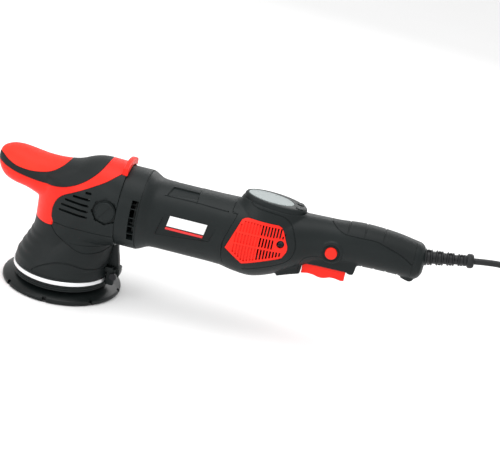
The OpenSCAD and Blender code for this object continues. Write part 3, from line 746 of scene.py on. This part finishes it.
def skirt_radius(r, h, a):
    """Ribs stand out at the front only and fade round the sides."""
    front = max(0.0, math.cos(a - math.pi)) ** 1.6
    for low, high, rise in ((31, 38, 0.9), (39.5, 46, 0.95), (48, 54, 0.9), (56, 61.5, 0.7)):
        if low < h < high and r > 36:
            r += rise * front * math.sin(math.pi * (h - low) / (high - low))
    return r


def make_skirt(belly):
    outline = curve_through(SKIRT[2:], 4)
    profile = SKIRT[:2] + outline + SKIRT_IN
    skirt = spun("gear_skirt", profile, sides=192, radius=skirt_radius)
    bulge = less(skirt_bulge("bulge", 0), skirt_bulge("bulge_room", 2.6))
    less(bulge, spun_solid([(47, 29), (44.6, 36), (38.4, 49), (33, 61), (33, 72)]))
    joined(skirt, bulge)
    remesh(skirt, 0.8, 6)
    both(skirt, block((-60, -60, 19.35), (60, 60, 75.9)))
    grooves(skirt, (ARCH, 0.8, 10), (BELLY, 0.6), ([(-30, 26.6), (0, 26.4), (30, 26.6)], 0.4, 6))
    lower = copy_of(skirt, "belly_low")
    region = slab(BELLY + [(70, 63), (70, 90), (-9.5, 90)])
    both(lower, region, keep=True)
    both(lower, block((-60, -60, 40), (60, 60, 62.62)))
    joined(belly, lower)
    finish_piece(belly, "black_shell", "belly_cover")
    less(skirt, region)
    less(skirt, head_room())
    finish_piece(skirt, "black_rubber", "skirt", sharp=50)


def spun_solid(outline):
    """Filled body of revolution about the spindle from (radius, height) points."""
    closed = [(0, outline[0][1])] + outline + [(0, outline[-1][1])]
    return spun("core", closed, sides=96)


def skirt_bulge(name, t):
    """Slanting tube from the skirt's waist to the room under the collar."""
    return ring_stack(name, [
        (3, 46 - t, 35.5), (3, 46 - t, 38.5), (6.2, 43.9 - t, 45), (10, 40.8 - t, 53),
        (14, 37.2 - t, 61 + t), (14.3, 36.9 - t, 64 + t)], 4)


def ring_stack(name, rings, steps):
    """Solid through level circles (centre x, radius, height)."""
    points = [(x + r * c, r * s, z)
              for x, r, z in curve_through(rings, steps) for c, s in circle(128)]
    return tube_mesh(name, points, 128)


def head_room():
    """Space of the gear head behind the belly seam, where the skirt is open."""
    outline = [(-9.7, 90), (-9.6, 79.9), (-8.6, 75), (-4.7, 69.9), (1.8, 65.3),
               (12.8, 60.3), (24.4, 55.8), (35.1, 55), (45.6, 57.3), (53, 62.8),
               (60, 70), (60, 90)]
    return both(neck_hull("space", 34.45, (62.5, 120), 41.4, (20, 55), 96), slab(outline))


def make_plate():
    """Backing plate with a rounded shoulder and eight notches in its rim."""
    profile = [(0, 1.05), (60.9, 1.05), (60.9, 0.45), (61.8, 0.45), (62.4, 1.1),
               (62.45, 3.4), (62.2, 4.3), (61.5, 5.0)]
    profile += curve_through([(61.5, 5.0), (57.8, 6.9), (54, 8.5), (51, 9.6), (48.5, 10.3),
                              (46, 10.7), (43.5, 10.75)], 4)[1:]
    profile += [(40, 10.75), (40, 10.0), (24, 10.0), (24, 7.1), (0, 7.1)]
    plate = spun("backing_plate_cap", profile, "Z", (0, PAD_Y, 0), 192)
    for k in range(8):
        notch = block((59.0, -2.1, 0.2), (64, 2.1, 5.6))
        less(plate, placed(notch, (0, PAD_Y, 0), 45 * k))
    finish_piece(plate, "plate_plastic", "backing_plate", body="pad")


def make_shroud_and_band():
    ring = [(44.7, 12.5), (48.6, 12.5), (49.4, 12.8), (49.9, 13.4), (49.9, 14.5), (49.3, 14.9),
            (49.3, 15.1), (50.1, 15.5), (50.1, 16.7), (49.4, 17.1), (49.4, 17.3),
            (50.1, 17.7), (50.1, 18.7), (49.7, 19.05), (46.9, 19.05), (46.9, 27.7),
            (44.7, 27.7)]
    shroud = spun("shroud_ring_moulded", ring, sides=192)
    finish_piece(shroud, "black_rubber", "shroud_ring")
    band = [(49.5, 19.7), (50.3, 19.7), (50.65, 20.0), (50.65, 23.6), (50.3, 23.95),
            (49.5, 23.95)]
    strip = spun("clamp_strip", band, sides=192)
    less(strip, block((40, -4.6, 10), (60, 4.6, 30)))
    finish_piece(strip, "bright_band", "clamp_band")


def make_clamp():
    """Moulded clamp block and the arm that ties it to the collar."""
    low = slab([(50.9, 16), (57.4, 16), (58.4, 17), (58.4, 24.5), (61.6, 24.5),
                (61.9, 26), (61.9, 32.4), (60.6, 33.8), (55.4, 33.8), (54.2, 35),
                (47.4, 35), (47.4, 29.1), (46, 29.1), (46, 16)], -9.9, 6.9)
    less(low, rod((0, 0, 10), (0, 0, 1), 20.0, 51.0, 128))
    less(low, rod((0, 0, 24), (0, 0, 1), 4.2, 49.9, 128))
    less(low, block((58.5, -12, 20), (64, -4.9, 36)))
    rounded(low, 0.9, 3)
    less(low, rod((57.6, -20, 27), (0, 1, 0), 40, 2.05, 32))
    less(low, block((56.8, -12, 22.2), (57.2, 12, 35)))
    low.name = "clamp_lug"
    finish_piece(low, "black_shell", "clamp_block")
    arm = slab(curve_through([(49.6, 60.6), (48.8, 53), (47.9, 46), (47.8, 40), (48.4, 34.6)], 5)
               + curve_through([(60.1, 34.6), (58.4, 44), (56.6, 52), (55.2, 60.6)], 5),
               -3.4, 4.2)
    less(arm, rod((30, 0, AXIS_Z), (1, 0, 0), 40, 41.95, 96))
    rounded(arm, 0.8, 2, 50)
    arm.name = "skirt_arm"
    finish_piece(arm, "black_rubber", "skirt_strap")


# ---- motor housing
HOUSING = [(36.2, 55.25), (41.3, 55.25), (41.7, 55.6), (41.7, 76.4)]
NECK = [(41.7, 76.4), (41.2, 77.9), (40.2, 80.2), (38.8, 82.8), (37.2, 85.8),
        (36.2, 88.6), (35.7, 92), (35.5, 97)]
HOUSING_IN = [(35.6, 150), (36.0, 164.4), (31.9, 164.4), (31.9, 176.9), (11.1, 176.9),
              (11.1, 169.4), (7.1, 169.4), (7.1, 166), (31, 166), (31, 86), (36.2, 80)]
LABEL_RECESS = [(95.5, 94), (151, 100.6), (159, 126), (104, 124.5)]
UPPER_PANEL = [(99, 132.4), (105, 141.8), (128.7, 142), (131.2, 134.2)]
HATCH = [(130.4, 160), (130.4, 133), (163.8, 130.6), (163.8, 160)]


def make_motor_housing():
    profile = HOUSING + curve_through(NECK, 3)[1:] + HOUSING_IN
    shell = spun("motor_housing_shell", profile, "X", (0, 0, AXIS_Z), 192)
    for side in SIDES:
        cut_exhaust(shell, side)
        cut_label_recess(shell, side)
        cut_upper_panel(shell, side)
    grooves(shell, ([(130.4, 141), (130.4, 138), (130.4, 131.5)], 0.4),
            ([(97, 132.2), (131, 132.4), (147, 132), (166.4, 131.8)], 0.7))
    seam = [(40.9, 76.5), (43.5, 76.5), (43.5, 77.7), (40.9, 77.7)]
    less(shell, spun("seam", seam, "X", (0, 0, AXIS_Z), 160))
    for c, s in circle(6):
        less(shell, rod((160, 21 * c, AXIS_Z + 21 * s), (1, 0, 0), 20, 6))
    return shell


def cut_exhaust(shell, side):
    """Arc of exhaust openings in the collar."""
    for k in range(5):
        lump = block((68.8, -4.15, 33), (75.6, 4.15, 46))
        less(shell, placed(lump, (0, 0, AXIS_Z), side * 90 - (k - 2.1) * 12.5, "X"))


def cut_label_recess(shell, side):
    """Flat slanting pocket behind the label, with a soft edge."""
    pocket = slab(LABEL_RECESS, side * 33.0, side * 45.0)
    rounded(pocket, 1.6, 3, 60)
    less(shell, pocket)


def cut_upper_panel(shell, side):
    """Shallow pocket beside the top hatch, deepest along its upper edge."""
    pocket = slab(UPPER_PANEL, side * 8, side * 45)
    rounded(pocket, 1.4, 3, 30)
    less(pocket, rod((90, side * 0.9, AXIS_Z - 0.9), (1, 0, 0), 60, 34.9, 128))
    less(shell, pocket)


def make_label():
    """Blank light plate over a plain red bar, one pair a side."""
    for side, name in ((-1, "left"), (1, "right")):
        face = slab([(106.2, 105.6), (144.6, 105.6), (146.6, 116.8), (108.2, 116.8)],
                    side * 32.9, side * 33.8)
        rounded(face, 0.25, 2, 30)
        field = slab([(107.4, 106.8), (143.7, 106.8), (145.2, 115.7), (108.9, 115.7)],
                     side * 33.55, side * 35)
        less(face, field)
        bar = slab([(105.2, 101.9), (143.8, 101.9), (144.3, 104.4), (105.7, 104.4)],
                   side * 32.9, side * 33.8)
        rounded(bar, 0.25, 2, 30)
        joined(face, bar)
        face.name = "label_plate_" + name
        finish_piece(face, "label", "label_plates")


# ---- rear housing
BODY = [(164.2, 104, 36, 36), (178, 103, 36.3, 37.8), (196, 102.5, 35.5, 38.3),
        (214, 105.5, 33, 35.7), (230, 110, 29.5, 31.3), (244, 114.5, 25.8, 27.3),
        (258, 118.5, 23, 24), (274, 121, 22, 22.2), (297, 123.7, 21.5, 22),
        (328, 123.7, 20.5, 21), (352, 121.7, 19, 19.4)]
TAIL = [(349, 121.9, 19.1, 19.5), (352.3, 121.7, 19, 19.3), (357, 121.4, 18.2, 18.7),
        (360.6, 121.2, 15.6, 16.2), (363.2, 121, 10.5, 11.5)]
VENT = [(168, 99.5), (178.5, 129), (181, 130.6), (184, 131.3), (215, 131.3), (218.6, 129.8),
        (221.5, 126.6), (228, 114), (228.6, 110.5), (228.3, 107.6), (225, 100.6), (222.4, 99),
        (187, 85.4)]
PANEL = [(178, 153.4), (186.1, 143.3), (207.2, 141.2), (219, 139.2), (228, 132.5),
         (234.2, 121), (236, 111), (232.4, 99.5), (222, 91.5), (198.7, 81.8), (188, 78)]
MOLD_GRIP = [(259, 160), (259.6, 150), (262.5, 145), (267, 141.5), (279, 136.5),
             (295, 136.3), (312, 136.5), (327, 133), (341, 128.4), (352, 122)]
SWITCH_LINE = [(243, 79), (242.6, 90), (243.4, 97), (247.4, 103.6), (254, 106.8), (264, 107.4)]
JOINT = [(167.6, 60), (167.4, 80), (165.2, 91), (164.6, 98), (164.8, 105), (172.2, 130.6),
         (171.6, 132), (167.2, 133.2), (168.6, 146), (166.6, 153), (166, 170)]
SCREWS = [(186, 74), (236, 132), (301, 108.5), (341, 109.5)]


def make_rear_skin():
    """Barrel, grip, switch box, tail lug and lock boss as one blended skin."""
    skin = loft("rear", [(158, 104, 35.6, 35.6)] + BODY + [(360, 121, 18.4, 18.8)], 112, 6)
    for part in switch_box_parts():
        joined(skin, part)
    remesh(skin, 1.0, 10)
    both(skin, block((164.25, -60, 60), (351.9, 60, 170)))
    return skin


def switch_box_parts():
    box = slab([(222, 84), (222, 73.5), (234, 78.4), (245.4, 82.4), (245.4, 94.6), (290.8, 96),
                (291.2, 94.4), (296.8, 94.4), (297.8, 95.6), (298.8, 104), (301, 112),
                (301, 122), (222, 122)], -15.4, 15.4)
    rounded(box, 0.9, 3, 30)
    lug = slab([(344, 110), (344, 102), (351.6, 99.9), (360, 99.9), (360, 110)], -8.9, 8.9)
    boss = rod((LOCK_X, -23.4, LOCK_Z), (0, 1, 0), 12, 11.4, 64)
    mound = oval_body("mound", [(44, 29, -26), (40, 26.5, -19), (36.4, 23.6, -12.5),
                                (34.4, 21.6, -7.6), (33.6, 20.8, -4.6)])
    return [box, lug, boss, on_display(mound)]


def on_display(obj):
    """Moves a part drawn at the origin into the tilted display seat."""
    return placed(obj, (206, 0, 149), 4, "Y")


def make_rear(shell):
    skin = make_rear_skin()
    grooves(skin, (PANEL, 0.6), (MOLD_GRIP, 0.6), (SWITCH_LINE, 0.45))
    cut_lock_seat(skin)
    hollow = loft("rear_hollow", BODY, 72, 4, inset=3.4)
    joined(hollow, block((150, -17, 90), (180, 17, 118)))
    trigger_room = slab([(245.2, 70), (245.2, 108), (290.9, 108), (290.9, 70)], -12.6, 12.6)
    joined(hollow, trigger_room)
    joined(hollow, rod((150, 0, AXIS_Z), (1, 0, 0), 27.6, 32.2, 96))
    joined(hollow, rod((340, 0, 123.6), (1, 0, 0), 30, 4.4, 48))
    less(skin, on_display(oval_body("seat", [(32.7, 19.9, -7), (32.7, 19.9, 6)])))
    less(skin, on_display(oval_body("well", [(30, 17.6, -24), (30, 17.6, -5)])))
    make_vents(skin)
    move_apron(skin, hollow, shell)
    make_grip(skin)
    make_halves(skin, hollow)


def move_apron(skin, hollow, shell):
    """The motor housing reaches a little over the rear shells in a stepped edge."""
    apron = copy_of(skin, "apron")
    both(apron, slab([(160, 60)] + JOINT + [(160, 170)]))
    less(apron, hollow, keep=True)
    joined(shell, apron)
    wide = [(x + 0.12, z) for x, z in JOINT]
    less(skin, slab([(160, 60)] + wide + [(160, 170)]))
    grooves(shell, (JOINT[1:-1], 0.45))
    grooves(skin, (wide[1:-1], 0.45))
    finish_piece(shell, "black_shell", "motor_housing", sharp=32)


def cut_lock_seat(skin):
    """Round moat and bore of the lock button."""
    less(skin, rod((LOCK_X, -40, LOCK_Z), (0, 1, 0), 30, 6.4, 64))
    less(skin, spun("moat", [(7.6, -30), (8.7, -30), (8.7, -22.6), (7.6, -22.6)],
                    "Y", (LOCK_X, 0, LOCK_Z), 64))


def make_vents(skin):
    """Red pentagon covers with three rows of slots, shallow in their front half."""
    floor = loft("vent_floor", BODY, 96, 5, inset=2.2)
    solid = copy_of(skin, "vent_stock")
    deep = loft("vent_deep", BODY, 96, 5, inset=1.3)
    for side, name in ((-1, "left"), (1, "right")):
        lid = copy_of(solid, "vent_cover_" + name + "_panel")
        both(lid, slab(VENT, side * 1, side * 60))
        less(lid, floor, keep=True)
        cut_vent_slots(lid, deep, side)
        less(lid, rod((221, side * 60, 114.5), (0, -side, 0), 31, 3.9, 48))
        finish_piece(lid, "red_plastic", "vent_cover_" + name)
        opening = slab(wider(VENT, 0.35), side * 1, side * 60)
        less(opening, floor, keep=True)
        less(skin, opening)
        for k in range(8):
            x = 200 + 3.2 * k
            less(skin, block((x, side * 10, 98), (x + 1.8, side * 60, 125)))
    for obj in (floor, solid, deep):
        bpy.data.objects.remove(obj)


def wider(outline, by):
    """Outline pushed out from its middle by about that much."""
    cx = sum(p[0] for p in outline) / len(outline)
    cz = sum(p[1] for p in outline) / len(outline)
    out = []
    for x, z in outline:
        d = math.hypot(x - cx, z - cz)
        out.append((x + (x - cx) / d * by, z + (z - cz) / d * by))
    return out


def cut_vent_slots(lid, deep, side):
    rows = ((88.0, 106.0), (107.8, 117.2), (119.0, 128.6))
    for k in range(16):
        x = 175.6 + 3.05 * k
        for low, high in rows:
            z0 = max(low, 101.6 - (x - 169.5) * 0.78, 88.6 + max(0, x - 187) * 0.37)
            z1 = min(high, 99.5 + (x - 168) * 2.6 - 1.6)
            if x > 221.5 - 3:
                z1 = min(z1, 127 - (x - 219) * 1.9)
            if x > 214.5:
                z0, z1 = (max(z0, 119.6), z1) if low > 118 else (z0, min(z1, 109.4))
            if z1 - z0 < 1.6 or (low > 107 and low < 118 and x > 214.5):
                continue
            lump = block((x, side * 5, z0), (x + 1.6, side * 60, z1))
            if x < 199:
                less(lump, deep, keep=True)
            less(lid, lump)


def make_grip(skin):
    grip = copy_of(skin, "rear_grip_rubber")
    region = slab(above(MOLD_GRIP))
    both(grip, region, keep=True)
    step_grip(grip)
    less(grip, loft("inner_grip", BODY[4:], 96, 5, inset=1.9))
    finish_piece(grip, "black_rubber", "grip_overmold")
    less(region, loft("inner_grip", [(240, 113.5, 26.8, 28.2)] + BODY[6:-1]
                      + [(353, 121.6, 18.9, 19.3)], 96, 5, inset=1.95))
    less(skin, region)


def step_grip(grip):
    """Three shallow finger steps across the top of the grip."""
    for x in (283, 300, 319):
        less(grip, sweep(section_path(grip, x, 90, 62), 1.0, 10))


def make_halves(skin, hollow):
    less(skin, hollow)
    for x in (304, 316, 328, 340):
        less(skin, sweep(section_path(skin, x, -90, 48), 1.0, 10))
    for x, z in SCREWS:
        less(skin, rod((x, 9.2, z), (0, 1, 0), 60, 3.6, 32))
        less(skin, rod((x, -9, z), (0, 1, 0), 20, 1.75, 24))
    other = copy_of(skin, "rear_housing_right")
    both(skin, block((150, -60, 40), (365, -0.06, 180)))
    both(other, block((150, 0.06, 40), (365, 60, 180)))
    skin.name = "rear_housing_left"
    finish_piece(skin, "black_shell", "housing_left")
    finish_piece(other, "black_shell", "housing_right")


def make_screws():
    """Cross-head screws of the vent covers and of the rear shells."""
    profile = [(0, -2.2), (3.7, -2.2), (3.7, -0.9), (3.1, -0.8), (2.9, 0.0), (2.4, 0.5),
               (0, 0.6)]
    places = [(221, side * 30.2, 114.5, side) for side in SIDES]
    places += [(x, 11.4, z, 1) for x, z in SCREWS]
    screws = []
    for x, y, z, side in places:
        head = spun("screw", [(r, side * h) for r, h in profile], "Y", (x, y, z), 40)
        for half_x, half_z in ((2.0, 0.42), (0.42, 2.0)):
            less(head, block((x - half_x, y + side * 0.7 - 1.1, z - half_z),
                             (x + half_x, y + side * 0.7 + 1.1, z + half_z)))
        screws.append(head)
    finish_piece(merged("case_screws", screws), "dark_steel", "housing_screws")


# ---- display and controls
# In the display's own frame: its window's shift, and the place of the keys.
WINDOW_SHIFT = (-5.5, 0, 0)
KEY_X, KEY_Y = 24.6, 6.2


def oval_body(name, rings):
    """Stacked ovals (half length, half width, height) joined into a solid."""
    points = [(a * c, b * s, z) for a, b, z in rings for c, s in circle(96)]
    return tube_mesh(name, points, 96)


def make_display():
    """Oval rim with a window pocket and two button wells, and its window."""
    rim = oval_body("display_frame", [
        (29.8, 17.4, -15), (29.8, 17.4, -6.6), (32.5, 19.7, -6.6), (32.5, 19.7, -3.6),
        (32.2, 19.5, -1.7), (31.4, 18.8, -0.5), (30.2, 17.7, 0.0)])
    pocket = oval_body("pocket", [(21, 11.5, -9), (21, 11.5, -1.9), (24, 14.2, -1.9),
                                  (24, 14.2, -0.3), (24.6, 14.8, 0.4), (24.6, 14.8, 3)])
    less(rim, placed(pocket, WINDOW_SHIFT))
    for side in SIDES:
        less(rim, rod((KEY_X, side * KEY_Y, -6), (0, 0, 1), 9, 3.9, 40))
        less(rim, sweep([(KEY_X + 5.0 * c, side * KEY_Y + 5.0 * s, 0.1)
                         for c, s in circle(48)], 0.28, 8))
    less(on_display(rim), loft("bed", BODY, 96, 5, inset=0.9))
    finish_piece(rim, "black_shell", "display_housing")
    lens = oval_body("display_window", [
        (23.8, 14.0, -1.75), (23.8, 14.0, -0.3), (23.4, 13.6, 0.05), (22.0, 12.3, 0.18),
        (14, 7.5, 0.2)])
    finish_piece(on_display(placed(lens, WINDOW_SHIFT)), "lens", "display_lens")


def make_speed_buttons():
    """Two dished keys behind the window with plain minus and plus marks."""
    profile = [(0, -3), (3.6, -3), (3.6, 0.3), (3.3, 0.75), (2.7, 0.9), (1.6, 0.72),
               (0, 0.66)]
    for side, name, body in ((-1, "plus_button", "plus"), (1, "minus_button", "minus")):
        y = side * KEY_Y
        key = spun(name + "_key", profile, "Z", (KEY_X, y, 0), 48)
        less(key, block((KEY_X - 1.6, y - 0.3, 0.45), (KEY_X + 1.6, y + 0.3, 1.4)))
        if side < 0:
            less(key, block((KEY_X - 0.3, y - 1.6, 0.45), (KEY_X + 0.3, y + 1.6, 1.4)))
        finish_piece(on_display(key), "black_shell", name, body=body)


def make_trigger():
    """Paddle with a finger wave along its underside."""
    wave = curve_through([(290, 85.3), (286.5, 84.6), (281, 85.4), (275.5, 85.2), (270, 83.2),
                          (264.5, 82.7), (259, 83.9), (252.5, 84.2), (246.2, 82.8)], 5)
    outline = [(245.9, 94.4), (246.1, 101.4), (254, 101.4), (256, 99.5), (286, 99.5),
               (289.9, 96.4)] + wave
    paddle = slab(outline, -12, 12)
    rounded(paddle, 1.4, 4, 30)
    inner = slab([(257, 110), (257, 88), (284, 88.5), (284, 110)], -9.6, 9.6)
    less(paddle, inner)
    less(paddle, rod((250, -20, 99), (0, 1, 0), 40, 1.68, 32))
    for x in (262.5, 267.5):
        less(paddle, sweep([(x, -13, 82.5), (x, 0, 82.3), (x, 13, 82.5)], 0.3, 8))
    paddle.name = "trigger_paddle"
    finish_piece(paddle, "red_plastic", "trigger", body="trigger_lever")


def make_lock_button():
    profile = [(0, -26.2), (4.8, -26.15), (5.6, -25.8), (6.0, -25.1), (6.0, -16.6),
               (7.2, -16.6), (7.2, -14.3), (0, -14.3)]
    knob = spun("lock_button_cap", profile, "Y", (LOCK_X, 0, LOCK_Z), 64)
    finish_piece(knob, "red_plastic", "lock_button", body="lock")


# ---- tail and lead set
def make_tail():
    cap = loft("tail_end", TAIL, 112, 6)
    lug = slab([(349, 112), (349, 99.9), (352.3, 99.9), (355.2, 100.6), (358.5, 106),
                (361, 112), (361.8, 117), (349, 120)], -8.9, 8.9)
    rounded(lug, 1.6, 3, 30)
    joined(cap, lug)
    remesh(cap, 0.8, 5)
    both(cap, block((352.1, -30, 95), (364, 30, 150)))
    less(cap, rod((351, 0, 121.5), (1, 0, 0), 8, 14.5, 64))
    less(cap, on_relief(rod((0, 0, -20), (0, 0, 1), 40, 8.75)))
    cap.name = "tail_end_cap"
    finish_piece(cap, "black_shell", "tail_cap")


def on_relief(obj):
    """Moves a part drawn upright at the origin to where the lead leaves the tail."""
    return placed(obj, (361, 0, 127), 80.7, "Y")


def make_relief():
    """Moulded anti-kink sleeve: seven ribs, gaps between them, round end bead."""
    ribs, pitch, taper = 7, 5.4, 0.36
    profile = [(0, -6), (8.55, -6), (8.55, 3.0)]
    for k in range(ribs):
        r, z = 8.4 - taper * k, pitch * k
        profile += [(r, z + 3.3), (r - 1.4, z + 3.75), (r - 1.7, z + 4.1),
                    (r - 1.7, z + 6.7), (r - 1.4, z + 7.1), (r - taper, z + 7.6)]
    profile += [(5.3, 42.6), (6.6, 43.4), (7.3, 44.4), (7.4, 46.2), (7.1, 48),
                (6.2, 49.4), (5.0, 49.95), (0, 49.95)]
    sleeve = spun("anti_kink_sleeve", profile, sides=64)
    less(sleeve, upright(CORD_D / 2 + 0.05))
    for k in range(ribs):
        z = pitch * (k + 1)
        bar = block((-9, -1.1, z - 1.5), (9, 1.1, z + 1.5))
        placed(bar, (0, 0, 0), 90 * (k % 2))
        less(bar, upright(4.4))
        both(bar, upright(8.0 - taper * k))
        joined(sleeve, bar)
    return finish_piece(on_relief(sleeve), "cord_rubber", "strain_relief")


def upright(r):
    """Cylinder on the sleeve's own axis, longer than the sleeve."""
    return rod((0, 0, -8), (0, 0, 1), 70, r)


def squarish(c):
    """Pulls a cosine or sine outwards, which turns a circle into a rounded square."""
    return math.copysign(abs(c) ** 0.55, c)


def make_plug():
    """Round-cornered mains plug with grip ribs and a ribbed sleeve."""
    rings = [(623, 13.2, 8.0), (624.5, 15.2, 9.0), (630, 17.0, 9.6), (640, 17.7, 9.7),
             (652, 17.7, 9.7), (658.5, 17.4, 9.6), (660.6, 16.4, 8.8)]
    points = [(x, PLUG_Y + half_y * squarish(c), PLUG_Z + half_z * squarish(s))
              for x, half_y, half_z in curve_through(rings, 3) for c, s in circle(64)]
    plug = tube_mesh("mains_plug", points, 64)
    for x in (631, 635.5, 640, 644.5):
        for side in SIDES:
            less(plug, rod((x, PLUG_Y + side * 18.3, PLUG_Z - 8), (0, 0, 1), 16, 1.1, 20))
    sleeve = [(0, 585.5), (5.2, 585.5), (5.6, 586.5)]
    for k in range(6):
        x = 588 + 5.6 * k
        r = 5.7 + 0.42 * k
        sleeve += [(r, x), (r, x + 2.8), (r - 1.1, x + 3.2), (r - 1.1, x + 4.9), (r, x + 5.3)]
    sleeve += [(8.2, 622), (8.4, 625), (0, 625)]
    joined(plug, spun("sleeve", sleeve, "X", (0, PLUG_Y, PLUG_Z), 48))
    less(plug, rod((580, PLUG_Y, PLUG_Z), (1, 0, 0), 12, CORD_D / 2 + 0.05, 32))
    return finish_piece(plug, "cord_rubber", "plug")


def make_pins():
    profile = [(0, 656), (2.35, 656), (2.35, 678.4), (1.9, 679.5), (0, 679.95)]
    pins = [spun("pin", profile, "X", (0, PLUG_Y + side * 9.5, PLUG_Z), 32)
            for side in SIDES]
    return finish_piece(merged("mains_plug_pins", pins), "brass", "plug_pins")


def make_tie():
    """Strap wrapped once round the coil, open through its middle."""
    (x0, y0, z0), (x1, y1, z1) = [[c / MM for c in corner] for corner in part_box("coil_tie")]
    wall = 1.3
    strap = rounded(block((x0, y0, z0), (x1, y1, z1)), 1.1, 3, 60)
    less(strap, block((x0 + wall, y0 - 2, z0 + wall), (x1 - wall, y1 + 2, z1 - wall)))
    strap.name = "coil_strap"
    return finish_piece(strap, "black_rubber", "coil_tie")


# ---- scene
make_camera()
cord = make_cord()
make_floor()
make_lights()
paint_cad_nodes()
make_skirt(make_head())
make_plate()
make_shroud_and_band()
make_clamp()
motor_shell = make_motor_housing()
make_label()
make_rear(motor_shell)
make_screws()
make_display()
make_speed_buttons()
make_trigger()
make_lock_button()
make_tail()
on_cord = [make_relief(), make_plug(), make_pins(), make_tie()]
